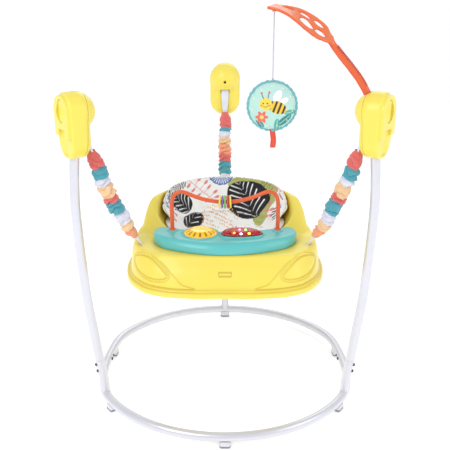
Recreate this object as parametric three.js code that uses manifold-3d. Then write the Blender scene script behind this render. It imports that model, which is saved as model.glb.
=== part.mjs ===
// Baby activity jumper: a three-legged tube frame, three spring suspensions and a
// bouncing play tray with a fabric seat. Millimetres, +Z up.
// Everything is drawn about the centre of the floor ring, and the whole group is
// then moved along Y so that the origin is the bottom centre of the bounding box.
import * as THREE from "three";
import { mergeVertices } from "three/addons/utils/BufferGeometryUtils.js";
import Module from "manifold-3d";

const wasm = await Module();
wasm.setup();

// ---------------------------------------------------------------- dimensions
const FRAME_SHIFT_Y = -35.5; // ring centre to bounding box centre
const TUBE_R = 12.7; // steel tube, outside
const TUBE_BORE_R = 11.4;
const SPIGOT_R = 10.9; // swaged tube end that slides into the next tube
const SPIGOT_BORE_R = 9.7;
const TUBE_SIDES = 8;
const RING_Z = 26; // floor ring centreline
const RING_RX = 388.5;
const RING_RY = 369;
const RING_SIDE_X = 370.5; // straight side stretch of the floor ring
const SEAM_Y = 9; // joint between front and rear ring tubes
const SPIGOT_LEN = 50;
const SIDE_LEG_AZ = 25.4; // side legs lie this many degrees in front of the X axis
const STUB_TOP_Z = 140; // welded leg socket
const LEG_TOP_Z = 800;
const FOOT_H = 20;
const HOUSING_W = 48.5; // half width
const HOUSING_TOP_Z = 897;
const HOUSING_BOTTOM_Z = 730;
const HOUSING_IN_R = 375;
const HOUSING_OUT_R = 448;
const DOME_R = 47.5;
const DOME_X = 403.5;
const DOME_Z = HOUSING_TOP_Z - HOUSING_W;
const WALL = 3;
const STRAP_W = 24;
const SPRING_R = 11;
const COVER_R = 21;
const COVER_BORE_R = 14;
const TRAY_LIP_Z = 375;
const SLOT_R = 255.5; // strap slots in the tray
const OPEN_CY = 55; // seat opening, an ellipse
const OPEN_RX = 172;
const OPEN_RY = 150;
const SHELF_Z = 464; // shelf under the toy unit
const TOY_BOTTOM_Z = 466;
const TOY_TOP_Z = 500;
const BAR_R = 5.5;
const BAR_Y = -88;
const BAR_X = 146;
const BAR_ARC_R = 225; // the beads slide on this arc
const BAR_VALLEY_Z = 583.5;
const BEAD_R = 19.5;
const BEAD_T = 6;
const BEAD_PITCH = 7.3;
const BEAD_BORE_R = 7;
const SPINNER = { x: -67, y: -110, z: 501 };
const LIGHT = { x: 46, y: -118, z: 503 };
const ARM_Y = -170.3;
const ARM_X = 355;
const BEE = { x: 117, z: 860.5, r: 64 };
const CORD_R = 1.2;

const YELLOW = 0xf6e86a;
const TEAL = 0x5fc4c1;
const ORANGE = 0xe9643a;
const STEEL = 0xe6e7ea;
const RUBBER = 0x8d9196;

// ------------------------------------------------------------------- helpers
const V = (x, y, z) => new THREE.Vector3(x, y, z);
const D = Math.PI / 180;

// A closed geometry as a manifold solid, with its faces turned outwards.
function solid(geometry, matrix) {
  const g = geometry.index ? geometry.toNonIndexed() : geometry.clone();
  g.deleteAttribute("normal");
  g.deleteAttribute("uv");
  if (matrix) g.applyMatrix4(matrix);
  const m = mergeVertices(g, 1e-3);
  const idx = m.index.array;
  const keep = [];
  for (let i = 0; i < idx.length; i += 3) {
    const [a, b, c] = [idx[i], idx[i + 1], idx[i + 2]];
    if (a !== b && b !== c && a !== c) keep.push(a, b, c);
  }
  const build = (tris) =>
    new wasm.Manifold(
      new wasm.Mesh({
        numProp: 3,
        vertProperties: new Float32Array(m.attributes.position.array),
        triVerts: new Uint32Array(tris),
      }),
    );
  const s = build(keep);
  if (s.volume() >= 0) return s;
  const flipped = [];
  for (let i = 0; i < keep.length; i += 3)
    flipped.push(keep[i], keep[i + 2], keep[i + 1]);
  return build(flipped);
}

function geometryOf(s) {
  const m = s.getMesh();
  const n = m.numProp;
  const v = new Float32Array(m.numVert * 3);
  for (let i = 0; i < m.numVert; i++)
    v.set(m.vertProperties.subarray(i * n, i * n + 3), i * 3);
  const g = new THREE.BufferGeometry();
  g.setAttribute("position", new THREE.BufferAttribute(v, 3));
  g.setIndex(new THREE.BufferAttribute(new Uint32Array(m.triVerts), 1));
  g.computeVertexNormals();
  return g;
}

function at(x, y, z, rx = 0, ry = 0, rz = 0) {
  return new THREE.Matrix4().compose(
    V(x, y, z),
    new THREE.Quaternion().setFromEuler(new THREE.Euler(rx, ry, rz)),
    V(1, 1, 1),
  );
}

const box = (w, d, h, x, y, z, rx = 0, ry = 0, rz = 0) =>
  solid(new THREE.BoxGeometry(w, d, h), at(x, y, z, rx, ry, rz));

// Cylinder along Z by default; the Euler angles turn it.
function cyl(r, h, sides, x, y, z, rx = 0, ry = 0, rz = 0) {
  const g = new THREE.CylinderGeometry(r, r, h, sides);
  g.rotateX(Math.PI / 2);
  return solid(g, at(x, y, z, rx, ry, rz));
}

// A path whose sections sit exactly on the stations given.
class StationCurve extends THREE.Curve {
  constructor(points) {
    super();
    this.p = points;
  }
  getPoint(t, target = new THREE.Vector3()) {
    const n = this.p.length - 1;
    const s = Math.min(Math.max(t * n, 0), n);
    const i = Math.min(Math.floor(s + 1e-9), n - 1);
    return target.copy(this.p[i]).lerp(this.p[i + 1], s - i);
  }
  getPointAt(u, target) {
    return this.getPoint(u, target);
  }
  getTangent(t, target = new THREE.Vector3()) {
    const n = this.p.length - 1;
    const i = Math.min(Math.max(Math.round(t * n), 0), n);
    const a = this.p[Math.max(i - 1, 0)];
    const b = this.p[i];
    const c = this.p[Math.min(i + 1, n)];
    const d1 = b.clone().sub(a).normalize();
    const d2 = c.clone().sub(b).normalize();
    return target.copy(d1.add(d2)).normalize();
  }
  getTangentAt(u, target) {
    return this.getTangent(u, target);
  }
}

function polygon(r, sides, turn = 0) {
  const pts = [];
  for (let i = 0; i < sides; i++) {
    const a = turn + ((i + 0.5) * 2 * Math.PI) / sides;
    pts.push(new THREE.Vector2(r * Math.cos(a), r * Math.sin(a)));
  }
  return pts;
}

function sweep(points, section, hole) {
  const shape = new THREE.Shape(section);
  if (hole) shape.holes.push(new THREE.Path(hole));
  return solid(
    new THREE.ExtrudeGeometry(shape, {
      steps: points.length - 1,
      bevelEnabled: false,
      extrudePath: new StationCurve(points),
    }),
  );
}
const rod = (points, r, sides = TUBE_SIDES) => sweep(points, polygon(r, sides));

// A closed profile carried round the Z axis: fn(j, phi) places point j of the
// profile at angle phi.
function ringLoft(count, segments, fn) {
  const profile = [];
  for (let j = 0; j <= count; j++)
    profile.push(new THREE.Vector2(10 + (j % count), j % count));
  const g = new THREE.LatheGeometry(profile, segments);
  const pos = g.getAttribute("position");
  for (let i = 0; i <= segments; i++)
    for (let j = 0; j <= count; j++) {
      const p = fn(j % count, ((i % segments) * 2 * Math.PI) / segments);
      pos.setXYZ(i * (count + 1) + j, p[0], p[1], p[2]);
    }
  return solid(g);
}

// Open profile from axis to axis, carried round a vertical axis.
function cupLoft(count, segments, fn) {
  const profile = [];
  for (let j = 0; j < count; j++) profile.push(new THREE.Vector2(10 + j, j));
  const g = new THREE.LatheGeometry(profile, segments);
  const pos = g.getAttribute("position");
  for (let i = 0; i <= segments; i++)
    for (let j = 0; j < count; j++) {
      const p = fn(j, ((i % segments) * 2 * Math.PI) / segments);
      pos.setXYZ(i * count + j, p[0], p[1], p[2]);
    }
  return solid(g);
}

const lerp = (a, b, t) => a + (b - a) * t;
const smooth = (a, b, x) => {
  const t = Math.min(Math.max((x - a) / (b - a), 0), 1);
  return t * t * (3 - 2 * t);
};
function table(rows, x) {
  for (let i = 1; i < rows.length; i++)
    if (x <= rows[i][0])
      return lerp(
        rows[i - 1][1],
        rows[i][1],
        (x - rows[i - 1][0]) / (rows[i][0] - rows[i - 1][0]),
      );
  return rows[rows.length - 1][1];
}

const group = new THREE.Group();
group.position.y = FRAME_SHIFT_Y;
const mat = (color, roughness = 0.4, metalness = 0, opacity = 1) =>
  new THREE.MeshStandardMaterial({
    color,
    roughness,
    metalness,
    opacity,
    transparent: opacity < 1,
  });
function add(parent, name, s, material, tolerance = 0.2) {
  const mesh = new THREE.Mesh(geometryOf(s.simplify(tolerance)), material);
  mesh.name = name;
  parent.add(mesh);
  return mesh;
}

// ---------------------------------------------------------------- floor ring
// Centreline, with straight sides where the two tubes join.
function ringPoint(t) {
  let x = RING_RX * Math.cos(t);
  const y = RING_RY * Math.sin(t);
  const ax = Math.abs(x);
  if (ax > 347) x = Math.sign(x) * (347 + (ax - 347) * 0.627);
  return V(x, y, RING_Z);
}
const frontPts = [];
const rearPts = [];
{
  const a0 = Math.PI + 4 * D; // just past the left side, going to the front
  const a1 = 2 * Math.PI - 4 * D;
  const n = 16;
  for (let i = 0; i <= n; i++)
    frontPts.push(ringPoint(a0 + ((a1 - a0) * i) / n));
  const b0 = 15 * D;
  const b1 = Math.PI - 15 * D;
  for (let i = 0; i <= 12; i++)
    rearPts.push(ringPoint(b0 + ((b1 - b0) * i) / 12));
}
const sideX = RING_SIDE_X;
const frontMain = [
  V(-sideX, SEAM_Y, RING_Z),
  V(-sideX, SEAM_Y - 16, RING_Z),
  ...frontPts,
  V(sideX, SEAM_Y - 16, RING_Z),
  V(sideX, SEAM_Y, RING_Z),
];
const rearMain = [
  V(sideX, SEAM_Y + 0.4, RING_Z),
  V(sideX, SEAM_Y + SPIGOT_LEN + 6, RING_Z),
  ...rearPts,
  V(-sideX, SEAM_Y + SPIGOT_LEN + 6, RING_Z),
  V(-sideX, SEAM_Y + 0.4, RING_Z),
];
const extend = (pts, by) => {
  const a = pts[0].clone().add(pts[0].clone().sub(pts[1]).normalize().multiplyScalar(by));
  const n = pts.length - 1;
  const b = pts[n].clone().add(pts[n].clone().sub(pts[n - 1]).normalize().multiplyScalar(by));
  return [a, ...pts.slice(1, n), b];
};

// Leg centrelines in their own radial plane: x outward, z up.
const sideLeg = [
  [27, 382.5], [80, 386], [140, 394], [230, 404.5], [330, 416], [450, 424],
  [600, 429], [710, 424], [LEG_TOP_Z, 413],
];
const rearLeg = sideLeg.map(([z, r]) => [z, r - 13.5 * (1 - smooth(20, 330, z))]);
const onLeg = (leg, z) => table(leg.map(([a, b]) => [a, b]), z);
const legPts = (leg, z0, z1) => [
  V(onLeg(leg, z0), 0, z0),
  ...leg.filter(([z]) => z > z0 + 1 && z < z1 - 1).map(([z, r]) => V(r, 0, z)),
  V(onLeg(leg, z1), 0, z1),
];
const AZ = {
  left: (180 + SIDE_LEG_AZ) * D,
  right: -SIDE_LEG_AZ * D,
  rear: 90 * D,
};
const legOf = { left: sideLeg, right: sideLeg, rear: rearLeg };
const LEG_BOLT_Z = [125, 104];
const BASE_BOLT_Y = [24, 44];

// The welded socket that stands on the ring, bored for the leg.
function stub(side) {
  const leg = legOf[side];
  const turn = new THREE.Matrix4().makeRotationZ(AZ[side]);
  const outer = rod(legPts(leg, 27, STUB_TOP_Z - 0.2), TUBE_R);
  const bore = rod(legPts(leg, 74, STUB_TOP_Z + 4), TUBE_BORE_R);
  let s = outer.subtract(bore);
  for (const z of LEG_BOLT_Z)
    s = s.subtract(cyl(3.2, 20, 6, onLeg(leg, z) + 14, 0, z, 0, 90 * D, 0));
  return solid(geometryOf(s), turn);
}
const ringHollow = (pts) => rod(pts, TUBE_R).subtract(rod(extend(pts, 4), TUBE_BORE_R));
{
  const mainF = rod(frontMain, TUBE_R);
  let boreF = rod(frontMain.map((p, i) => (i === 0 || i === frontMain.length - 1 ? V(p.x, p.y - 3, p.z) : p)), TUBE_BORE_R);
  let front = mainF;
  for (const sx of [-1, 1]) {
    const y0 = SEAM_Y - 2;
    const y1 = SEAM_Y + SPIGOT_LEN;
    front = front.add(rod([V(sx * sideX, y0, RING_Z), V(sx * sideX, y1, RING_Z)], SPIGOT_R));
    boreF = boreF.add(rod([V(sx * sideX, y0 - 4, RING_Z), V(sx * sideX, y1 + 4, RING_Z)], SPIGOT_BORE_R));
  }
  for (const side of ["left", "right"]) front = front.add(stub(side));
  front = front.subtract(boreF);
  let rear = rod(rearMain, TUBE_R).add(stub("rear")).subtract(rod(extend(rearMain, 4), TUBE_BORE_R));
  for (const sx of [-1, 1])
    for (const y of BASE_BOLT_Y) {
      const hole = cyl(3.2, 18, 6, sx * (sideX - 12), y, RING_Z, 0, 90 * D, 0);
      front = front.subtract(hole);
      rear = rear.subtract(hole);
    }
  add(group, "base_tube_front", front, mat(STEEL, 0.25, 0.6));
  add(group, "base_tube_rear", rear, mat(STEEL, 0.25, 0.6));
}

// Bolt with a round head and a short shank, along +X of its own frame.
function bolt() {
  const g = new THREE.LatheGeometry(
    [
      new THREE.Vector2(0, -9),
      new THREE.Vector2(2.6, -9),
      new THREE.Vector2(2.6, 0),
      new THREE.Vector2(5, 0),
      new THREE.Vector2(4.2, 3),
      new THREE.Vector2(0, 3.6),
    ],
    6,
  );
  g.rotateZ(-90 * D);
  return solid(g);
}
const boltMaterial = mat(0x4a4d52, 0.4, 0.8);
for (const [side, sx] of [["left", -1], ["right", 1]])
  BASE_BOLT_Y.forEach((y, i) => {
    const m = add(group, `base_bolt_${side}_${i ? "rear" : "front"}`, bolt(), boltMaterial);
    m.position.set(sx * (sideX - TUBE_R - 0.35), y, RING_Z);
    m.rotation.z = sx > 0 ? Math.PI : 0;
  });

// Feet: a saddle pad under the ring tube.
const FEET = {
  foot_front: [V(0, -RING_RY, 0), 0],
  foot_rear: [V(0, RING_RY, 0), 0],
  foot_front_left: [V(-323, -207, 0), 0],
  foot_front_right: [V(323, -207, 0), 0],
  foot_rear_left: [V(-365, 95, 0), 0],
  foot_rear_right: [V(365, 95, 0), 0],
};
function nearest(p) {
  let best = null;
  for (const path of [frontMain, rearMain])
    for (let i = 1; i < path.length; i++) {
      const seg = path[i].clone().sub(path[i - 1]);
      const t = Math.min(Math.max(V(p.x, p.y, RING_Z).sub(path[i - 1]).dot(seg) / seg.lengthSq(), 0), 1);
      const q = path[i - 1].clone().addScaledVector(seg, t);
      const d = Math.hypot(q.x - p.x, q.y - p.y);
      if (!best || d < best.d) best = { d, q, dir: seg.normalize() };
    }
  return best;
}
for (const [name, [p]] of Object.entries(FEET)) {
  // nearest point of the tube's centreline, and its direction there
  const best = nearest(p);
  const q1 = nearest(best.q.clone().addScaledVector(best.dir, -20)).q;
  const q2 = nearest(best.q.clone().addScaledVector(best.dir, 20)).q;
  const ang = Math.atan2(q2.y - q1.y, q2.x - q1.x);
  const s = new THREE.Shape();
  const w = 15, d = 14, c = 4;
  s.moveTo(-w + c, -d);
  for (const [x, y] of [[w - c, -d], [w, -d + c], [w, d - c], [w - c, d], [-w + c, d], [-w, d - c], [-w, -d + c]])
    s.lineTo(x, y);
  const pad = solid(new THREE.ExtrudeGeometry(s, { depth: FOOT_H, bevelEnabled: false }))
    .subtract(cyl(15.1, 80, 12, 0, 0, RING_Z, 0, 90 * D, 0));
  const m = add(group, name, pad, mat(0xd9dade, 0.5));
  m.position.set(best.q.x, best.q.y, 0);
  m.rotation.z = ang;
}

// --------------------------------------------------------- legs and housings
function stadium(w, z0, z1, arcs) {
  const s = new THREE.Shape();
  const pts = [];
  for (let i = 0; i <= arcs; i++) {
    const a = (Math.PI * i) / arcs;
    pts.push([w * Math.cos(a), z1 - w + w * Math.sin(a)]);
  }
  for (let i = 0; i <= arcs; i++) {
    const a = Math.PI + (Math.PI * i) / arcs;
    pts.push([w * Math.cos(a), z0 + w + w * Math.sin(a)]);
  }
  s.moveTo(...pts[0]);
  pts.slice(1).forEach((p) => s.lineTo(...p));
  return s;
}
// shape (x, y) -> (v, z), extruded along +x from x0 to x1
const radial = new THREE.Matrix4().makeBasis(V(0, 1, 0), V(0, 0, 1), V(1, 0, 0));
function slab(shape, x0, x1, bevel = 0, segs = 1) {
  const g = new THREE.ExtrudeGeometry(shape, {
    depth: x1 - x0 - 2 * bevel,
    bevelEnabled: bevel > 0,
    bevelThickness: bevel,
    bevelSize: bevel,
    bevelOffset: -bevel,
    bevelSegments: segs,
  });
  g.translate(0, 0, x0 + bevel);
  return solid(g, radial);
}
const seamX = (z) => 392 + ((HOUSING_TOP_Z - z) * 13) / 167;
const seamTilt = -Math.atan2(13, 167);
// Half space outside the parting seam, as a big block.
function outside(gap) {
  const z = 813;
  return solid(
    new THREE.BoxGeometry(200, 300, 400),
    new THREE.Matrix4()
      .makeTranslation(seamX(z), 0, z)
      .multiply(new THREE.Matrix4().makeRotationY(seamTilt))
      .multiply(new THREE.Matrix4().makeTranslation(100 + gap, 0, 0)),
  );
}

function housing(side) {
  const leg = legOf[side];
  let body = slab(stadium(HOUSING_W, HOUSING_BOTTOM_Z, HOUSING_TOP_Z, 6), HOUSING_IN_R, HOUSING_OUT_R, 9, 1);
  const ball = new THREE.SphereGeometry(DOME_R, 12, 8);
  body = body.add(solid(ball, at(DOME_X, 0, DOME_Z, 90 * D, 0, 0)));
  // raised plate on the outer face, stepped at its lower end
  const plate = new THREE.Shape();
  const pz = HOUSING_TOP_Z - 10;
  plate.moveTo(34, 785);
  plate.lineTo(34, pz - 24);
  plate.lineTo(24, pz - 6);
  plate.lineTo(0, pz);
  plate.lineTo(-24, pz - 6);
  plate.lineTo(-34, pz - 24);
  plate.lineTo(-34, 785);
  plate.lineTo(-19, 785);
  plate.lineTo(-19, 805);
  plate.lineTo(19, 805);
  plate.lineTo(19, 785);
  body = body.add(slab(plate, HOUSING_OUT_R - 12, HOUSING_OUT_R + 8, 0));
  // oval recess in the plate
  body = body.subtract(slab(stadium(16, 822, 880, 4), HOUSING_OUT_R + 4, HOUSING_OUT_R + 20, 0));
  // scooped channel below the plate
  body = body.subtract(cyl(36, 56, 12, HOUSING_OUT_R + 28, 0, 757));
  let cavity = slab(stadium(HOUSING_W - WALL, HOUSING_BOTTOM_Z + WALL, HOUSING_TOP_Z - WALL, 4), HOUSING_IN_R + WALL, HOUSING_OUT_R - 12, 6, 1);
  cavity = cavity.add(solid(new THREE.SphereGeometry(DOME_R - WALL - 1, 10, 6), at(DOME_X, 0, DOME_Z, 90 * D, 0, 0)));
  body = body.subtract(cavity);
  body = body.subtract(rod(legPts(leg, 701, 759), TUBE_R + 0.9));
  if (side === "right") {
    const a = AZ.right;
    const hx = ARM_X * Math.cos(a) + ARM_Y * Math.sin(a);
    const hy = -ARM_X * Math.sin(a) + ARM_Y * Math.cos(a);
    body = body.subtract(cyl(9.2, 60, 12, hx, hy, 895));
  }
  const outer = body.intersect(outside(0.2));
  let inner = body.subtract(outside(-0.2));
  // screw hole in the dome, strap slot under it
  inner = inner.subtract(cyl(3.2, 30, 6, 356, 0, 842, 0, 90 * D, 0));
  inner = inner.subtract(box(26, 2 * 14, 9, 370, 0, 810.5));
  // bar that the strap loops over, moulded across the inner shell
  inner = inner.add(cyl(5, 2 * HOUSING_W - 3, 8, 387.5, 0, 824, 90 * D, 0, 0));
  return { inner, outer };
}

// A flat band bent along a path in the radial plane, width across it.
function band(pathPts, thickness, width) {
  const left = [];
  const right = [];
  const n = pathPts.length;
  for (let i = 0; i < n; i++) {
    const a = pathPts[Math.max(i - 1, 0)];
    const b = pathPts[Math.min(i + 1, n - 1)];
    const dx = b[0] - a[0];
    const dz = b[1] - a[1];
    const l = Math.hypot(dx, dz);
    const nx = (-dz / l) * (thickness / 2);
    const nz = (dx / l) * (thickness / 2);
    left.push([pathPts[i][0] + nx, pathPts[i][1] + nz]);
    right.push([pathPts[i][0] - nx, pathPts[i][1] - nz]);
  }
  const outline = [...left, ...right.reverse()];
  const s = new THREE.Shape(outline.map(([x, z]) => new THREE.Vector2(x, z)));
  const g = new THREE.ExtrudeGeometry(s, { depth: width, bevelEnabled: false });
  // shape (x, y) -> (x, z), extruded across
  const m = new THREE.Matrix4()
    .makeBasis(V(1, 0, 0), V(0, 0, 1), V(0, -1, 0))
    .setPosition(0, width / 2, 0);
  return solid(g, m);
}

const SPRING_PATH = [[356, 701], [347, 670], [329.5, 618], [311, 570], [288, 522]];
const COVER_PATH = [[359, 717], [352.5, 692], [342, 656], [329, 617], [311, 570], [294, 533], [273, 497]];
const path3 = (pts) => pts.map(([x, z]) => V(x, 0, z));

for (const side of ["left", "right", "rear"]) {
  const g = new THREE.Group();
  g.rotation.z = AZ[side];
  group.add(g);
  const leg = legOf[side];
  // leg tube with a swaged lower end
  let tube = rod(legPts(leg, STUB_TOP_Z + 0.2, LEG_TOP_Z), TUBE_R).add(
    rod(legPts(leg, 86, STUB_TOP_Z + 2), SPIGOT_R),
  );
  tube = tube.subtract(
    rod(legPts(leg, STUB_TOP_Z + 3, LEG_TOP_Z + 0.001), TUBE_BORE_R).add(
      rod(legPts(leg, 81, STUB_TOP_Z + 8), SPIGOT_BORE_R),
    ),
  );
  // open the top end
  tube = tube.subtract(cyl(TUBE_BORE_R - 0.6, 20, TUBE_SIDES, onLeg(leg, LEG_TOP_Z), 0, LEG_TOP_Z));
  for (const z of LEG_BOLT_Z)
    tube = tube.subtract(cyl(3.2, 20, 6, onLeg(leg, z) + 14, 0, z, 0, 90 * D, 0));
  add(g, `leg_tube_${side}`, tube, mat(STEEL, 0.25, 0.6));
  LEG_BOLT_Z.forEach((z, i) => {
    const m = add(g, `leg_bolt_${side}_${i ? "lower" : "upper"}`, bolt(), boltMaterial);
    m.position.set(onLeg(leg, z) + TUBE_R + 1.2, 0, z);
  });
  const { inner, outer } = housing(side);
  add(g, `housing_inner_${side}`, inner, mat(YELLOW, 0.35));
  add(g, `housing_outer_${side}`, outer, mat(YELLOW, 0.35));
  // webbing looped over the bar and down through the slot
  const loop = solid(
    new THREE.ExtrudeGeometry(
      (() => {
        const s = new THREE.Shape(polygon(7.6, 8));
        s.holes.push(new THREE.Path(polygon(5.8, 8)));
        return s;
      })(),
      { depth: STRAP_W, bevelEnabled: false },
    ),
    new THREE.Matrix4()
      .makeBasis(V(1, 0, 0), V(0, 0, 1), V(0, -1, 0))
      .setPosition(387.5, STRAP_W / 2, 824),
  );
  const tail = band([[383.6, 818.7], [377, 811.5], [372.6, 804], [371.2, 785], [369.5, 765], [366.5, 748], [362.5, 728], [358.5, 708]], 2.2, STRAP_W);
  add(g, `upper_strap_${side}`, loop.add(tail), mat(0xe9e9f2, 0.8));
  add(
    g,
    `coil_spring_${side}`,
    sweep(path3(SPRING_PATH), polygon(SPRING_R, 8), polygon(SPRING_R - 2.2, 8)),
    mat(0xa0a3a8, 0.3, 0.9),
  );
  add(
    g,
    `spring_cover_${side}`,
    sweep(path3(COVER_PATH), polygon(COVER_R, 8), polygon(COVER_BORE_R, 8)),
    mat(0xe77c74, 0.9),
  );
  // lower webbing, through the tray slot, with a keeper bar under the shelf
  const lower = band([[281, 511], [268, 489], [257.5, 474], [SLOT_R, 466], [SLOT_R, 452]], 2.6, 20).add(
    box(9, 34, 6, SLOT_R, 0, 452),
  );
  add(g, `tray_strap_${side}`, lower, mat(0xe3e8f4, 0.8));
}

// ---------------------------------------------------------------- play tray
// Angle a runs from the front (0) to the rear (180) on both sides.
const RIM = [[0, 262], [19.4, 277.7], [33.3, 299], [45, 311], [55.6, 308], [68.5, 295], [78, 285.5], [90, 277], [105, 272], [122.5, 272], [142, 277], [161, 283], [180, 285]];
const SHOULDER = [[0, 206], [19.4, 218], [33.3, 240], [45, 262], [55.6, 270], [68.5, 268], [78, 265], [90, 263], [105, 262], [122.5, 262], [142, 266], [161, 272], [180, 274]];
const TOPZ = [[0, SHELF_Z], [77, SHELF_Z], [93, 474], [180, 474]];
const hoodAt = (a) => smooth(80, 110, a);
function openR(phi) {
  // distance from the ring centre to the opening's edge
  const c = Math.cos(phi), s = Math.sin(phi);
  const A = (c / OPEN_RX) ** 2 + (s / OPEN_RY) ** 2;
  const B = (-2 * s * OPEN_CY) / OPEN_RY ** 2;
  const C = (OPEN_CY / OPEN_RY) ** 2 - 1;
  return (-B + Math.sqrt(B * B - 4 * A * C)) / (2 * A);
}
function trayPoint(j, phi) {
  let a = (phi / D + 90) % 360;
  if (a > 180) a = 360 - a;
  const rim = table(RIM, a);
  const sh = table(SHOULDER, a);
  const tz = table(TOPZ, a);
  const h = hoodAt(a);
  const op = openR(phi);
  const base = lerp(Math.min(sh - 14, 246), a > 120 ? lerp(246, 236, smooth(120, 165, a)) : 246, h);
  const inLow = Math.max(op + 5, lerp(op + 5, lerp(201, 213, smooth(95, 170, a)), h));
  const top = lerp(tz, 550, h);
  const crestIn = lerp(inLow + 3, Math.max(inLow + 5, 207), h);
  const crest = lerp(lerp(inLow, base, 0.4), Math.max(crestIn + 6, 215), h);
  const outTop = lerp(lerp(inLow, base, 0.8), Math.max(crest + 8, 229), h);
  const P = [
    [rim, TRAY_LIP_Z],
    [rim, 385],
    [rim - 17, 397],
    [lerp(rim - 17, sh, 0.42), 432],
    [sh, tz - 9],
    [sh - 8, tz - 1],
    [base, tz],
    [outTop, lerp(tz, 541, h)],
    [crest, top],
    [crestIn, lerp(tz, 543, h)],
    [inLow, lerp(tz, 492, h)],
    [op + Math.min(6.5, (inLow - op) * 0.8), 474.6],
    [op, 474],
    [op, 450],
    [op + 3, 450],
    [op + 3.2, 470],
    [inLow + 3.2, lerp(tz - 4, 488, h)],
    [crestIn + 3, lerp(tz - 4, 539, h)],
    [crest, top - 4],
    [outTop - 3, lerp(tz - 4, 538, h)],
    [base - 3, tz - 4],
    [sh - 9, tz - 5],
    [sh - 4, tz - 11],
    [lerp(rim - 17, sh, 0.42) - 3.4, 431],
    [rim - 20.5, 396],
    [rim - 3, 382],
    [rim - 3, TRAY_LIP_Z],
  ];
  const [r, z] = P[j];
  return [r * Math.cos(phi), r * Math.sin(phi), z];
}
let trayShell = ringLoft(27, 32, trayPoint);
for (const side of ["left", "right", "rear"])
  trayShell = trayShell.subtract(
    solid(new THREE.BoxGeometry(9, 25, 40), new THREE.Matrix4().makeRotationZ(AZ[side]).multiply(at(SLOT_R, 0, 470))),
  );
add(group, "tray_shell", trayShell, mat(YELLOW, 0.35));

// Seat ring: a flat hoop that drops on the edge of the opening.
const oval = (rx, ry, phi, z) => [rx * Math.cos(phi), OPEN_CY + ry * Math.sin(phi), z];
add(
  group,
  "seat_ring",
  ringLoft(4, 24, (j, phi) => {
    const g = [[4, 476.3], [4, 480.3], [-12, 480.3], [-12, 476.3]][j];
    return oval(OPEN_RX + g[0], OPEN_RY + g[0], phi, g[1]);
  }),
  mat(0xf2f2ee, 0.5),
);
// Fabric sling with two leg holes, hung from the seat ring.
{
  const prof = [
    [0, 262], [70, 264], [112, 282], [138, 330], [150, 400], [157, 475.8],
    [151.5, 475.8], [144.5, 400], [132.5, 333], [106, 288], [66, 270], [0, 268],
  ];
  let sling = cupLoft(12, 20, (j, phi) => {
    const [r, z] = prof[j];
    const k = r / 157;
    return [157 * k * Math.cos(phi), OPEN_CY + 136 * k * Math.sin(phi), z];
  });
  for (const sx of [-1, 1])
    sling = sling.subtract(
      cyl(47, 170, 10, sx * 62, OPEN_CY - 104, 322, 68 * D, 0, sx * 16 * D),
    );
  add(group, "seat_sling", sling, mat(0xf1f1ef, 0.9));
}
// Padded back rest, a curved pad that stands on the seat ring.
{
  const n = 12;
  const PAD_RX = 176.5;
  const PAD_RY = 138.5;
  const pts = [];
  const span = 98;
  const g0 = [];
  for (let i = 0; i <= n; i++) {
    const a = (-span + (2 * span * i) / n) * D;
    pts.push(V(PAD_RX * Math.sin(a), OPEN_CY + PAD_RY * Math.cos(a), 0));
    g0.push(a);
  }
  const T = 9;
  const section = [
    [-T, 0.0], [-T, 0.82], [-T * 0.5, 1.0], [T * 0.5, 1.0], [T, 0.82], [T, 0.0],
  ].map(([x, y]) => new THREE.Vector2(y * 100, x));
  const geo = new THREE.ExtrudeGeometry(new THREE.Shape(section), {
    steps: n,
    bevelEnabled: false,
    extrudePath: new StationCurve(pts),
  });
  const pos = geo.getAttribute("position");
  const topOf = (a) => {
    const d = Math.abs(a / D);
    return table([[0, 572], [45, 568], [65, 560], [80, 541], [90, 518], [99, 500]], d);
  };
  for (let i = 0; i < pos.count; i++) {
    const x = pos.getX(i), y = pos.getY(i);
    const a = Math.atan2(x / PAD_RX, (y - OPEN_CY) / PAD_RY);
    const t = Math.abs(pos.getZ(i)) / 100;
    // the foot of the pad leans in to stand on the seat ring
    const k = 1 - 0.075 * Math.max(0, 1 - t / 0.82);
    pos.setXYZ(i, x * k, OPEN_CY + (y - OPEN_CY) * k, lerp(481, topOf(a), t));
  }
  add(group, "seat_back_pad", solid(geo), mat(0xf3f3f1, 0.9));
}

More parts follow.
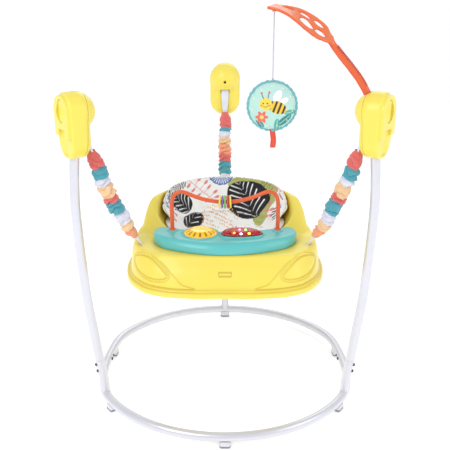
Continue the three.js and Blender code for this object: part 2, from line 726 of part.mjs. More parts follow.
// ----------------------------------------------------------------- toy unit
function crescent(inset) {
  const pts = [];
  const R = 387 - inset;
  const half = 190 - inset;
  // rear edge, a shallow arc bowed to the front
  for (let i = 0; i <= 8; i++) {
    const x = half * (1 - i / 4) * 0.93;
    const y = -92 - inset + 387 - Math.sqrt(387 * 387 - x * x);
    pts.push([x, y]);
  }
  // left tip, front arc, right tip
  const tip = (sx) => [[sx * (190 - inset), -60 - inset * 0.4], [sx * (199 - inset), -84], [sx * (196 - inset), -108 + inset * 0.3]];
  const front = [];
  for (let i = 1; i < 14; i++) {
    const x = -(186 - inset) + (2 * (186 - inset) * i) / 14;
    front.push([x, -196 + inset + 62 * Math.pow(Math.abs(x) / 186, 2.1)]);
  }
  return [...pts, ...tip(-1), ...front, ...tip(1).reverse()];
}
{
  const bevel = 13;
  const shape = new THREE.Shape(crescent(0).map(([x, y]) => new THREE.Vector2(x, y)));
  const g = new THREE.ExtrudeGeometry(shape, {
    depth: 40, bevelEnabled: true, bevelThickness: bevel, bevelSize: bevel, bevelOffset: -bevel, bevelSegments: 2,
  });
  g.translate(0, 0, TOY_TOP_Z - 40 - bevel);
  let toy = solid(g).subtract(box(600, 600, 100, 0, 0, TOY_BOTTOM_Z - 50));
  const inner = new THREE.Shape(crescent(5).map(([x, y]) => new THREE.Vector2(x, y)));
  const gi = new THREE.ExtrudeGeometry(inner, { depth: 60, bevelEnabled: true, bevelThickness: 8, bevelSize: 8, bevelOffset: -8, bevelSegments: 1 });
  gi.translate(0, 0, TOY_TOP_Z - 3.5 - 68);
  toy = toy.subtract(solid(gi));
  // relief over the seat ring
  const relief = new THREE.CylinderGeometry(1, 1, 60, 28);
  relief.rotateX(Math.PI / 2);
  toy = toy.subtract(solid(relief, new THREE.Matrix4().compose(V(0, OPEN_CY, 483.2 - 30), new THREE.Quaternion(), V(OPEN_RX + 10, OPEN_RY + 10, 1))));
  for (const sx of [-1, 1]) {
    toy = toy.add(cyl(14, 3, 14, sx * BAR_X, BAR_Y, 500.5));
    toy = toy.subtract(cyl(BAR_R + 0.8, 30, 10, sx * BAR_X, BAR_Y, 502));
  }
  // low round plinth for the spinner, and its post
  toy = toy.add(cyl(7, 5, 10, SPINNER.x, SPINNER.y, 501));
  add(group, "toy_tray", toy, mat(TEAL, 0.3));
}

// Bead bar: two posts, two crowns and a sagging arc between them.
{
  const pts = [];
  const zc = BAR_VALLEY_Z + BAR_ARC_R;
  const half = [];
  half.push(V(-BAR_X, BAR_Y, 489), V(-BAR_X, BAR_Y, 530), V(-BAR_X, BAR_Y, 576), V(-143.5, BAR_Y, 593), V(-136, BAR_Y, 606), V(-125, BAR_Y, 612.5), V(-112, BAR_Y, 612));
  for (let a = -26; a <= 26.01; a += 6.5) {
    const t = a * D;
    pts.push(V(BAR_ARC_R * Math.sin(t), BAR_Y, zc - BAR_ARC_R * Math.cos(t)));
  }
  const other = half.map((p) => V(-p.x, p.y, p.z)).reverse();
  add(group, "bead_bar", rod([...half, ...pts, ...other], BAR_R, 8), mat(ORANGE, 0.35));
  const colours = [0xf2e02a, 0x8a63c0, 0x8fd080, 0xe2262c, 0xf2e02a];
  for (let i = 0; i < 5; i++) {
    const b = new THREE.LatheGeometry(
      [
        new THREE.Vector2(BEAD_BORE_R, -BEAD_T / 2),
        new THREE.Vector2(BEAD_R - 1.5, -BEAD_T / 2),
        new THREE.Vector2(BEAD_R, 0),
        new THREE.Vector2(BEAD_R - 1.5, BEAD_T / 2),
        new THREE.Vector2(BEAD_BORE_R, BEAD_T / 2),
        new THREE.Vector2(BEAD_BORE_R, -BEAD_T / 2),
      ],
      10,
    );
    const t = ((i - 2) * BEAD_PITCH) / BAR_ARC_R;
    b.rotateZ(90 * D); // axis along X
    const m = add(group, `bead_${i + 1}`, solid(b), mat(colours[i], 0.3));
    m.position.set(BAR_ARC_R * Math.sin(t), BAR_Y, zc - BAR_ARC_R * Math.cos(t));
    m.rotation.y = -t;
  }
}

// Spinner: a fluted clear dome with a flower inside that turns with it.
{
  const prof = [
    [0, 13], [25, 12.4], [30, 10.8], [39.5, 4.4], [43.5, 0.4],
    [40.5, 0.4], [37, 3.6], [28.5, 8.4], [24, 9.4], [0, 10],
  ];
  const dome = cupLoft(10, 24, (j, phi) => {
    const [r, z] = prof[j];
    const k = r > 20 ? 1 + 0.05 * Math.cos(8 * phi) : 1;
    return [r * k * Math.cos(phi), r * k * Math.sin(phi), z];
  });
  const m = add(group, "spinner_dome", dome, mat(0xf0b41e, 0.1, 0, 0.6));
  m.position.set(SPINNER.x, SPINNER.y, SPINNER.z);
  const f = new THREE.Shape();
  for (let i = 0; i < 20; i++) {
    const a = (i / 20) * 2 * Math.PI;
    const r = 12.5 + 4 * Math.cos(5 * a);
    if (i) f.lineTo(r * Math.cos(a), r * Math.sin(a));
    else f.moveTo(r * Math.cos(a), r * Math.sin(a));
  }
  const flower = add(group, "spinner_flower", solid(new THREE.ExtrudeGeometry(f, { depth: 4, bevelEnabled: false })), mat(0x6cc24a, 0.5));
  flower.position.set(SPINNER.x, SPINNER.y, SPINNER.z + 3.5);
}

// Light and sound unit: clear red press cover, lamp board, battery box and door.
function leaf(inset) {
  const a = [[-57, -14], [-50, 14], [-30, 27], [2, 30], [30, 25], [50, 8], [58.5, -9], [38, -21], [8, -29], [-24, -29], [-47, -24]];
  const k = 1 - inset / 40;
  return a.map(([x, y]) => new THREE.Vector2(x * (1 - inset / 58), y * k));
}
{
  const cover = new THREE.ExtrudeGeometry(new THREE.Shape(leaf(0)), { depth: 20, bevelEnabled: true, bevelThickness: 8, bevelSize: 9, bevelOffset: -9, bevelSegments: 2 });
  cover.translate(0, 0, 12 - 28);
  let s = solid(cover).subtract(box(200, 200, 60, 0, 0, -30));
  const hollow = new THREE.ExtrudeGeometry(new THREE.Shape(leaf(4)), { depth: 20, bevelEnabled: true, bevelThickness: 7, bevelSize: 8, bevelOffset: -8, bevelSegments: 1 });
  hollow.translate(0, 0, 9.6 - 27);
  s = s.subtract(solid(hollow));
  const m = add(group, "light_cover", s, mat(0xb3121a, 0.1, 0, 0.7));
  m.position.set(LIGHT.x, LIGHT.y, LIGHT.z);
  const board = add(group, "lamp_board", box(70, 26, 1.6, 0, 0, 0), mat(0x1f6b3a, 0.6));
  board.position.set(LIGHT.x, LIGHT.y, 502.2);
  const unit = box(92, 44, 18, 0, 0, 0);
  const u = add(group, "battery_box", unit, mat(0xe8e8e4, 0.5));
  u.position.set(34, -144, 484);
  const door = add(group, "battery_door", box(70, 36, 2.4, 0, 0, 0), mat(0xdcdcd8, 0.5));
  door.position.set(34, -144, 473.4);
}

// ------------------------------------------------------------ arm, cord, toy
{
  const ZC = [[100, 1096.5], [117, 1097], [143, 1091], [162, 1083], [187, 1069.5], [214, 1053.5], [233, 1043], [246, 1035], [262, 1020]];
  const DZ = [[100, 2], [117, 8], [143, 16], [162, 26], [187, 39], [214, 45], [233, 40], [246, 34], [262, 16]];
  const HW = [[100, 3], [106, 11], [120, 19], [140, 26], [165, 30], [200, 31], [225, 29], [240, 23], [252, 15], [262, 8]];
  const top = (x, v) => table(ZC, x) + (v / table(HW, x)) * (table(DZ, x) / 2);
  const xs = [100, 108, 120, 140, 165, 200, 225, 240, 252, 262];
  const outline = [...xs.map((x) => [x, -table(HW, x)]), ...xs.slice().reverse().map((x) => [x, table(HW, x)])];
  const shape = new THREE.Shape(outline.map(([x, y]) => new THREE.Vector2(x, y)));
  const holes = [
    [[178, -11], [184, 3], [194, 5], [204, -4], [207, -12], [196, -17], [186, -16]],
    [[214, -12], [220, -4], [230, -4], [239, -11], [230, -18], [220, -18]],
    [[137, 12], [150, 20], [166, 15], [160, 10], [146, 8]],
    [[176, 17], [190, 24], [206, 16], [198, 11], [184, 12]],
    [[213, 15], [224, 22], [238, 12], [230, 7], [220, 8]],
  ];
  for (const h of holes) shape.holes.push(new THREE.Path(h.map(([x, y]) => new THREE.Vector2(x, y))));
  const g = new THREE.ExtrudeGeometry(shape, { depth: 7, bevelEnabled: false });
  const pos = g.getAttribute("position");
  for (let i = 0; i < pos.count; i++) {
    const x = pos.getX(i), v = pos.getY(i), z = pos.getZ(i);
    pos.setXYZ(i, x, ARM_Y + v, top(x, v) - 7 + z);
  }
  let arm = solid(g);
  const stem = [V(246, ARM_Y, 1025), V(264, ARM_Y, 1003), V(281, ARM_Y, 983), V(304, ARM_Y, 957), V(327, ARM_Y, 929), V(343, ARM_Y, 905), V(353, ARM_Y, 888), V(ARM_X, ARM_Y, 880), V(ARM_X, ARM_Y, 874)];
  arm = arm.add(rod(stem, 9.5, 8).subtract(box(60, 60, 60, ARM_X, ARM_Y, 898.6 - 30)));
  arm = arm.add(cyl(7.8, 34, 12, ARM_X, ARM_Y, 884));
  arm = arm.add(cyl(4.5, 12, 8, BEE.x, ARM_Y, 1089.8));
  add(group, "toy_arm", arm, mat(ORANGE, 0.35));
  add(
    group,
    "toy_cord",
    rod([V(BEE.x, ARM_Y, 1083.1), V(BEE.x, ARM_Y, 1032), V(BEE.x, ARM_Y, 978), V(BEE.x, ARM_Y, 925.2)], CORD_R, 8),
    mat(0xf2f2f4, 0.7),
  );
  // padded round toy with a ribbon tail
  const disc = new THREE.LatheGeometry(
    [
      new THREE.Vector2(0, -15), new THREE.Vector2(34, -12.5), new THREE.Vector2(54, -6.5), new THREE.Vector2(BEE.r, 0),
      new THREE.Vector2(54, 6.5), new THREE.Vector2(34, 12.5), new THREE.Vector2(0, 15),
    ],
    20,
  );
  const toy = solid(disc, at(BEE.x, ARM_Y, BEE.z)).add(box(14, 3, 50, BEE.x + 3, ARM_Y, BEE.z - BEE.r - 18));
  add(group, "hanging_toy", toy, mat(0xa9dcdc, 0.9));
}

export default group;
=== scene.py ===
"""Looks of the activity jumper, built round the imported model.

All geometry is worked out in millimetres about the centre of the floor ring and
turned into the row frame, in metres, when a mesh is made.
"""
import math

import bpy
import bmesh
import numpy as np
from mathutils import Vector, Matrix


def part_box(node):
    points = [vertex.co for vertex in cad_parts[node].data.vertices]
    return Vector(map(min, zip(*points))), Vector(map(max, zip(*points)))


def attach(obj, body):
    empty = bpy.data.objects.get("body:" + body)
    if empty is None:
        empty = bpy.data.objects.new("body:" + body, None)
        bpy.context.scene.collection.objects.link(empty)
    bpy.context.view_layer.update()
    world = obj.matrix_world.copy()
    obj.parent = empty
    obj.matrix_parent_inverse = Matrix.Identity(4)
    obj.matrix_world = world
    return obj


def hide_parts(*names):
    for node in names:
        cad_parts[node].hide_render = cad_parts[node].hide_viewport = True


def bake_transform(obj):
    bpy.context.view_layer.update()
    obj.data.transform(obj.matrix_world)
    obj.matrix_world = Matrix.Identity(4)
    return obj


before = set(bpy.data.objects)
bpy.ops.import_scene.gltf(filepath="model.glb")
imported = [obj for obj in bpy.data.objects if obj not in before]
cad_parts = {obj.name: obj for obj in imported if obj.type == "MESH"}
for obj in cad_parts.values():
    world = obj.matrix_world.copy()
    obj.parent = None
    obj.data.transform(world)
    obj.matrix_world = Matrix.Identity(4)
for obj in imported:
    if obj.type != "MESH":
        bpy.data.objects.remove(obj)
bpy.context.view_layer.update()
SY = -35.5  # ring centre to row frame along Y, mm
D = math.pi / 180
AZ = {"left": 205.4 * D, "right": -25.4 * D, "rear": 90 * D}
SIDES = ("left", "right", "rear")


# ============================================================== camera, light
cam_data = bpy.data.cameras.new("camera")
cam_data.lens = 54.41
cam_data.sensor_width = 36
cam = bpy.data.objects.new("camera", cam_data)
cam.location = (0, -1.857215 + SY / 1000, 1.158133)
cam.rotation_euler = (math.pi / 2 - 0.348, 0, 0)
bpy.context.scene.collection.objects.link(cam)
bpy.context.scene.camera = cam
bpy.context.scene.view_settings.view_transform = "Standard"
bpy.context.scene.view_settings.look = "None"


def lin(c):
    """sRGB 0..255 to linear."""
    out = []
    for x in c[:3]:
        x = x / 255
        out.append(x / 12.92 if x <= 0.04045 else ((x + 0.055) / 1.055) ** 2.4)
    return tuple(out)


def rgba(c, a=1.0):
    return (*lin(c), a)


world = bpy.data.worlds.new("studio")
bpy.context.scene.world = world
world.use_nodes = True
wn = world.node_tree
bg = wn.nodes["Background"]
geo = wn.nodes.new("ShaderNodeTexCoord")
sep = wn.nodes.new("ShaderNodeSeparateXYZ")
ramp = wn.nodes.new("ShaderNodeValToRGB")
ramp.color_ramp.elements[0].position = 0.30
ramp.color_ramp.elements[0].color = (1.0, 1.0, 1.0, 1)
ramp.color_ramp.elements[1].position = 1.0
ramp.color_ramp.elements[1].color = (0.80, 0.83, 0.90, 1)
wn.links.new(geo.outputs["Generated"], sep.inputs[0])
wn.links.new(sep.outputs["Z"], ramp.inputs[0])
wn.links.new(ramp.outputs[0], bg.inputs["Color"])
hz = wn.nodes.new("ShaderNodeMapRange")
for kk, vv in (("From Min", 0.0), ("From Max", 0.03), ("To Min", 1.35), ("To Max", 0.80)):
    hz.inputs[kk].default_value = vv
wn.links.new(sep.outputs["Z"], hz.inputs["Value"])
wn.links.new(hz.outputs["Result"], bg.inputs["Strength"])


def area(name, loc, target, size, power, color=(1, 1, 1)):
    light = bpy.data.lights.new(name, "AREA")
    light.shape = "RECTANGLE"
    light.size, light.size_y = size
    light.energy = power
    light.color = color
    o = bpy.data.objects.new(name, light)
    o.location = loc
    o.rotation_euler = (Vector(target) - Vector(loc)).to_track_quat("-Z", "Y").to_euler()
    bpy.context.scene.collection.objects.link(o)
    return o


area("key", (-1.5, -1.9, 2.5), (0, 0, 0.55), (1.5, 1.5), 26)
area("fill", (2.2, -1.2, 1.7), (0, 0, 0.5), (1.4, 1.8), 11)
area("back", (0.3, 2.2, 2.2), (0, 0, 0.6), (2.0, 1.2), 10)


# ==================================================================== helpers
def mesh(name, v, faces, mats=(), smooth=True, mat_index=None, uv=None, color=None, outward=True):
    """v in mm about the ring centre; faces an index array or a list of them."""
    v = np.array(v, float) * 0.001
    v[:, 1] += SY * 0.001
    groups = faces if isinstance(faces, (list, tuple)) else [faces]
    idx, starts, pos = [], [], 0
    for g in groups:
        g = np.asarray(g, int)
        if g.ndim == 1:
            g = g[None]
        if not len(g):
            continue
        n, k = g.shape
        idx.append(g.ravel())
        starts.append(pos + np.arange(n) * k)
        pos += n * k
    idx = np.concatenate(idx)
    starts = np.concatenate(starts)
    me = bpy.data.meshes.new(name)
    me.vertices.add(len(v))
    me.vertices.foreach_set("co", v.ravel())
    me.loops.add(len(idx))
    me.loops.foreach_set("vertex_index", idx)
    me.polygons.add(len(starts))
    me.polygons.foreach_set("loop_start", starts)
    for m in mats:
        me.materials.append(m)
    if mat_index is not None:
        me.polygons.foreach_set("material_index", np.asarray(mat_index, int))
    me.update(calc_edges=True)
    me.validate()
    if uv is not None:
        layer = me.uv_layers.new(name="UVMap")
        layer.data.foreach_set("uv", np.asarray(uv, float)[idx].ravel())
    if color is not None:
        c = np.ones((len(v), 4))
        c[:, :3] = color
        att = me.color_attributes.new("paint", "FLOAT_COLOR", "POINT")
        att.data.foreach_set("color", c.ravel())
    if outward:
        bm = bmesh.new()
        bm.from_mesh(me)
        bmesh.ops.recalc_face_normals(bm, faces=bm.faces)
        bm.to_mesh(me)
        bm.free()
    me.polygons.foreach_set("use_smooth", np.full(len(me.polygons), smooth))
    me.update()
    o = bpy.data.objects.new(name, me)
    bpy.context.scene.collection.objects.link(o)
    return o


def merge(parts):
    """(verts, [face arrays]) pairs joined into one."""
    vs, fs, n = [], [], 0
    for v, f in parts:
        v = np.asarray(v, float)
        vs.append(v)
        for g in f if isinstance(f, (list, tuple)) else [f]:
            g = np.asarray(g, int)
            if g.size:
                fs.append((g if g.ndim == 2 else g[None]) + n)
        n += len(v)
    return np.concatenate(vs), fs


def grid_faces(nu, nv, cu=False, cv=False):
    iu = np.arange(nu if cu else nu - 1)
    jv = np.arange(nv if cv else nv - 1)
    i, j = np.meshgrid(iu, jv, indexing="ij")
    i2, j2 = (i + 1) % nu, (j + 1) % nv
    return np.stack([i * nv + j, i2 * nv + j, i2 * nv + j2, i * nv + j2], -1).reshape(-1, 4)


def spline(points, n, closed=False):
    """Catmull-Rom through the points, n samples evenly spaced along it."""
    p = np.asarray(points, float)
    m = len(p)
    if closed:
        e = np.concatenate([p[-1:], p, p[:2]])
        segs = m
    else:
        e = np.concatenate([2 * p[:1] - p[1:2], p, 2 * p[-1:] - p[-2:-1]])
        segs = m - 1
    out = []
    t = np.linspace(0, 1, 24, endpoint=False)[:, None]
    for i in range(segs):
        p0, p1, p2, p3 = e[i], e[i + 1], e[i + 2], e[i + 3]
        out.append(
            0.5
            * (
                2 * p1
                + (p2 - p0) * t
                + (2 * p0 - 5 * p1 + 4 * p2 - p3) * t**2
                + (3 * p1 - p0 - 3 * p2 + p3) * t**3
            )
        )
    q = np.concatenate(out + [p[:1] if closed else p[-1:]])
    return resample(q, n, closed)


def resample(q, n, closed=False):
    q = np.asarray(q, float)
    s = np.concatenate([[0], np.cumsum(np.linalg.norm(np.diff(q, axis=0), axis=1))])
    t = np.linspace(0, s[-1], n + 1 if closed else n)
    r = np.stack([np.interp(t, s, q[:, k]) for k in range(q.shape[1])], 1)
    return r[:-1] if closed else r


def pchip(xs, ys, x):
    xs, ys, x = np.asarray(xs, float), np.asarray(ys, float), np.asarray(x, float)
    h = np.diff(xs)
    d = np.diff(ys) / h
    m = np.zeros(len(xs))
    m[0], m[-1] = 0, 0
    for i in range(1, len(xs) - 1):
        if d[i - 1] * d[i] > 0:
            w1, w2 = 2 * h[i] + h[i - 1], h[i] + 2 * h[i - 1]
            m[i] = (w1 + w2) / (w1 / d[i - 1] + w2 / d[i])
    i = np.clip(np.searchsorted(xs, x) - 1, 0, len(h) - 1)
    t = (np.clip(x, xs[0], xs[-1]) - xs[i]) / h[i]
    return (
        ys[i] * (1 + 2 * t) * (1 - t) ** 2
        + h[i] * m[i] * t * (1 - t) ** 2
        + ys[i + 1] * t**2 * (3 - 2 * t)
        + h[i] * m[i + 1] * t**2 * (t - 1)
    )


def smooth(a, b, x):
    t = np.clip((np.asarray(x, float) - a) / (b - a), 0, 1)
    return t * t * (3 - 2 * t)


def frames(p, closed=False):
    """Tangents and two normals carried along a line without twist."""
    p = np.asarray(p, float)
    if closed:
        t = np.roll(p, -1, 0) - np.roll(p, 1, 0)
    else:
        t = np.gradient(p, axis=0)
    t /= np.linalg.norm(t, axis=1)[:, None]
    ref = np.array([0, 0, 1.0]) if abs(t[0][2]) < 0.9 else np.array([1.0, 0, 0])
    a = np.cross(t[0], ref)
    a /= np.linalg.norm(a)
    A = [a]
    for i in range(1, len(p)):
        a = A[-1] - t[i] * (A[-1] @ t[i])
        a /= np.linalg.norm(a)
        A.append(a)
    A = np.array(A)
    return t, A, np.cross(t, A)


def tube(p, r, sides=24, caps=True, round_ends=0.0, closed=False):
    """(verts, faces) of a tube along p, radius r (a number or one per point)."""
    p = np.asarray(p, float)
    n = len(p)
    r = np.full(n, float(r)) if np.isscalar(r) else np.asarray(r, float)
    t, a, b = frames(p, closed)
    if round_ends and not closed:
        k = 5
        ang = np.linspace(0, math.pi / 2, k + 1)[1:]
        def end(i, sign):
            off = [p[i] + sign * t[i] * round_ends * math.sin(x) for x in ang]
            rad = [max(r[i] - round_ends * (1 - math.cos(x)), 0.02) for x in ang]
            return np.array(off), np.array(rad)
        o0, r0 = end(0, -1)
        o1, r1 = end(n - 1, 1)
        p = np.concatenate([o0[::-1], p, o1])
        r = np.concatenate([r0[::-1], r, r1])
        a = np.concatenate([np.repeat(a[:1], k, 0), a, np.repeat(a[-1:], k, 0)])
        b = np.concatenate([np.repeat(b[:1], k, 0), b, np.repeat(b[-1:], k, 0)])
        n = len(p)
    ph = np.arange(sides) * 2 * math.pi / sides
    v = p[:, None] + r[:, None, None] * (a[:, None] * np.cos(ph)[None, :, None] + b[:, None] * np.sin(ph)[None, :, None])
    f = [grid_faces(n, sides, closed, True)]
    if caps and not closed:
        f.append(np.arange(sides)[None, ::-1])
        f.append((n - 1) * sides + np.arange(sides)[None])
    return v.reshape(-1, 3), f


def lathe(profile, segs=64, axis="z", centre=(0, 0, 0), wave=None):
    """(verts, faces) of (r, h) points turned about an axis; wave(ph, j) scales r."""
    prof = np.asarray(profile, float)
    ph = np.arange(segs) * 2 * math.pi / segs
    r, h = prof[:, 0], prof[:, 1]
    k = np.ones((len(prof), segs))
    if wave is not None:
        k = wave(ph[None, :], np.arange(len(prof))[:, None]) * k
    x = r[:, None] * np.cos(ph) * k
    y = r[:, None] * np.sin(ph) * k
    z = np.repeat(h[:, None], segs, 1)
    v = np.stack([x, y, z], -1).reshape(-1, 3)
    if axis == "x":
        v = v[:, [2, 0, 1]]
    elif axis == "y":
        v = np.stack([v[:, 0], -v[:, 2], v[:, 1]], 1)
    closed = np.allclose(prof[0], prof[-1])
    if closed:
        v = v[: (len(prof) - 1) * segs]
        f = [grid_faces(len(prof) - 1, segs, True, True)]
    else:
        f = [grid_faces(len(prof), segs, False, True), np.arange(segs)[None, ::-1], (len(prof) - 1) * segs + np.arange(segs)[None]]
    return v + np.asarray(centre, float), f


def radial(side, v):
    """(r, across, z) in a leg's own plane to ring-centred x, y, z."""
    v = np.asarray(v, float)
    c, s = math.cos(AZ[side]), math.sin(AZ[side])
    return np.stack([v[:, 0] * c - v[:, 1] * s, v[:, 0] * s + v[:, 1] * c, v[:, 2]], 1)


def chaikin(pts, rounds=2):
    p = np.asarray(pts, float)
    for _ in range(rounds):
        q = np.roll(p, -1, 0)
        p = np.stack([0.75 * p + 0.25 * q, 0.25 * p + 0.75 * q], 1).reshape(-1, p.shape[1])
    return p


# ------------------------------------------------ solids from distance fields
def smin(a, b, k):
    h = np.clip(0.5 + 0.5 * (b - a) / k, 0, 1)
    return b * (1 - h) + a * h - k * h * (1 - h)


def smax(a, b, k):
    return -smin(-a, -b, k)


def poly2(px, py, pts):
    px, py = np.broadcast_arrays(np.asarray(px, float), np.asarray(py, float))
    d = np.full(px.shape, 1e18)
    inside = np.zeros(px.shape, bool)
    pts = np.asarray(pts, float)
    for i in range(len(pts)):
        (ax, ay), (bx, by) = pts[i], pts[i - 1]
        ex, ey = bx - ax, by - ay
        wx, wy = px - ax, py - ay
        t = np.clip((wx * ex + wy * ey) / max(ex * ex + ey * ey, 1e-12), 0, 1)
        d = np.minimum(d, (wx - ex * t) ** 2 + (wy - ey * t) ** 2)
        c1, c2, c3 = py >= ay, py < by, ex * wy > ey * wx
        inside ^= (c1 & c2 & c3) | (~c1 & ~c2 & ~c3)
    d = np.sqrt(d)
    return np.where(inside, -d, d)


def line2(px, py, pts):
    """Distance to an open line."""
    px, py = np.broadcast_arrays(np.asarray(px, float), np.asarray(py, float))
    d = np.full(px.shape, 1e18)
    pts = np.asarray(pts, float)
    for i in range(1, len(pts)):
        (ax, ay), (bx, by) = pts[i], pts[i - 1]
        ex, ey = bx - ax, by - ay
        wx, wy = px - ax, py - ay
        t = np.clip((wx * ex + wy * ey) / max(ex * ex + ey * ey, 1e-12), 0, 1)
        d = np.minimum(d, (wx - ex * t) ** 2 + (wy - ey * t) ** 2)
    return np.sqrt(d)


def extr(d2, z, z0, z1, r):
    """A flat shape given by its 2-D distance, from z0 to z1, edges rounded by r."""
    dz = np.abs(z - (z0 + z1) / 2) - (z1 - z0) / 2
    a, b = d2 + r, dz + r
    return np.minimum(np.maximum(a, b), 0) + np.hypot(np.maximum(a, 0), np.maximum(b, 0)) - r


def capsule(x, y, z, a, b, ra, rb):
    a, b = np.asarray(a, float), np.asarray(b, float)
    e = b - a
    t = np.clip(((x - a[0]) * e[0] + (y - a[1]) * e[1] + (z - a[2]) * e[2]) / (e @ e), 0, 1)
    return np.sqrt((x - a[0] - e[0] * t) ** 2 + (y - a[1] - e[1] * t) ** 2 + (z - a[2] - e[2] * t) ** 2) - (ra + (rb - ra) * t)


CORNERS = [(0, 0, 0), (1, 0, 0), (0, 1, 0), (1, 1, 0), (0, 0, 1), (1, 0, 1), (0, 1, 1), (1, 1, 1)]
EDGES = [(0, 1), (2, 3), (4, 5), (6, 7), (0, 2), (1, 3), (4, 6), (5, 7), (0, 4), (1, 5), (2, 6), (3, 7)]


def nets(f, lo, hi, cell, steps=3):
    """(verts, quads) of the surface where f is 0."""
    lo, hi = np.asarray(lo, float), np.asarray(hi, float)
    n = np.ceil((hi - lo) / cell).astype(int) + 1
    ax = [lo[i] + cell * np.arange(n[i]) for i in range(3)]
    F = np.array(np.broadcast_to(f(ax[0][:, None, None], ax[1][None, :, None], ax[2][None, None, :]), n))
    mn = np.full(n - 1, 1e18)
    mx = -mn
    for dx, dy, dz in CORNERS:
        sub = F[dx : n[0] - 1 + dx, dy : n[1] - 1 + dy, dz : n[2] - 1 + dz]
        np.minimum(mn, sub, out=mn)
        np.maximum(mx, sub, out=mx)
    act = (mn < 0) & (mx >= 0)
    idx = np.argwhere(act)
    C = np.stack([F[idx[:, 0] + dx, idx[:, 1] + dy, idx[:, 2] + dz] for dx, dy, dz in CORNERS], 1)
    co = np.array(CORNERS, float)
    P = np.zeros((len(idx), 3))
    cnt = np.zeros(len(idx))
    for a, b in EDGES:
        fa, fb = C[:, a], C[:, b]
        cr = (fa < 0) != (fb < 0)
        t = np.where(cr, fa / np.where(cr, fa - fb, 1), 0)
        P += np.where(cr[:, None], co[a] + (co[b] - co[a]) * t[:, None], 0)
        cnt += cr
    V = lo + cell * (idx + P / cnt[:, None])
    vid = np.full(act.shape, -1)
    vid[act] = np.arange(len(idx))
    quads = []
    for axis in range(3):
        u, w = (axis + 1) % 3, (axis + 2) % 3
        sl0 = [slice(None)] * 3
        sl1 = [slice(None)] * 3
        sl0[axis], sl1[axis] = slice(0, -1), slice(1, None)
        A, B = F[tuple(sl0)], F[tuple(sl1)]
        e = np.argwhere((A < 0) != (B < 0))
        e = e[(e[:, u] >= 1) & (e[:, u] < n[u] - 1) & (e[:, w] >= 1) & (e[:, w] < n[w] - 1)]
        if not len(e):
            continue
        du = np.zeros(3, int)
        dw = np.zeros(3, int)
        du[u], dw[w] = 1, 1
        q = np.stack([vid[tuple(x.T)] for x in (e - du - dw, e - dw, e, e - du)], 1)
        flip = ~(A[tuple(e.T)] < 0)
        q[flip] = q[flip][:, ::-1]
        quads.append(q)
    for _ in range(steps):
        x, y, z = V.T
        h = 0.08
        f0 = f(x, y, z)
        g = np.stack([f(x + h, y, z) - f(x - h, y, z), f(x, y + h, z) - f(x, y - h, z), f(x, y, z + h) - f(x, y, z - h)], 1) / (2 * h)
        d = g * (f0 / np.maximum((g**2).sum(1), 0.2))[:, None]
        L = np.linalg.norm(d, axis=1)
        d *= np.minimum(1, 0.45 * cell / np.maximum(L, 1e-9))[:, None]
        V = V - d
    return V, [np.concatenate(quads)]


# ================================================================== materials
def new_mat(name):
    m = bpy.data.materials.new(name)
    m.use_nodes = True
    nt = m.node_tree
    return m, nt, nt.nodes["Principled BSDF"]


def add(nt, kind, **inputs):
    n = nt.nodes.new(kind)
    for k, v in inputs.items():
        if hasattr(n, k) and k not in n.inputs:
            setattr(n, k, v)
        else:
            n.inputs[k.replace("_", " ")].default_value = v
    return n


def coords(nt):
    return nt.nodes.new("ShaderNodeTexCoord").outputs["Object"]


def noise(nt, scale, detail=3, rough=0.5, vec=None):
    n = nt.nodes.new("ShaderNodeTexNoise")
    n.inputs["Scale"].default_value = scale
    n.inputs["Detail"].default_value = detail
    n.inputs["Roughness"].default_value = rough
    nt.links.new(vec if vec is not None else coords(nt), n.inputs["Vector"])
    return n.outputs["Fac"]


def mixrgb(nt, fac, a, b, mode="MIX"):
    n = nt.nodes.new("ShaderNodeMix")
    n.data_type = "RGBA"
    n.blend_type = mode
    for sock, v in ((n.inputs[0], fac), (n.inputs[6], a), (n.inputs[7], b)):
        if hasattr(v, "is_output"):
            nt.links.new(v, sock)
        else:
            sock.default_value = v
    return n.outputs[2]


def maprange(nt, v, a, b, c, d):
    n = nt.nodes.new("ShaderNodeMapRange")
    nt.links.new(v, n.inputs["Value"])
    for k, x in zip(("From Min", "From Max", "To Min", "To Max"), (a, b, c, d)):
        n.inputs[k].default_value = x
    return n.outputs["Result"]


def math_node(nt, op, a, b=None):
    n = nt.nodes.new("ShaderNodeMath")
    n.operation = op
    for i, v in enumerate((a, b)):
        if v is None:
            continue
        if hasattr(v, "is_output"):
            nt.links.new(v, n.inputs[i])
        else:
            n.inputs[i].default_value = v
    return n.outputs[0]


def bump(nt, bsdf, height, strength, dist, prev=None):
    b = nt.nodes.new("ShaderNodeBump")
    b.inputs["Strength"].default_value = strength
    b.inputs["Distance"].default_value = dist
    nt.links.new(height, b.inputs["Height"])
    if prev is not None:
        nt.links.new(prev, b.inputs["Normal"])
    nt.links.new(b.outputs["Normal"], bsdf.inputs["Normal"])
    return b.outputs["Normal"]


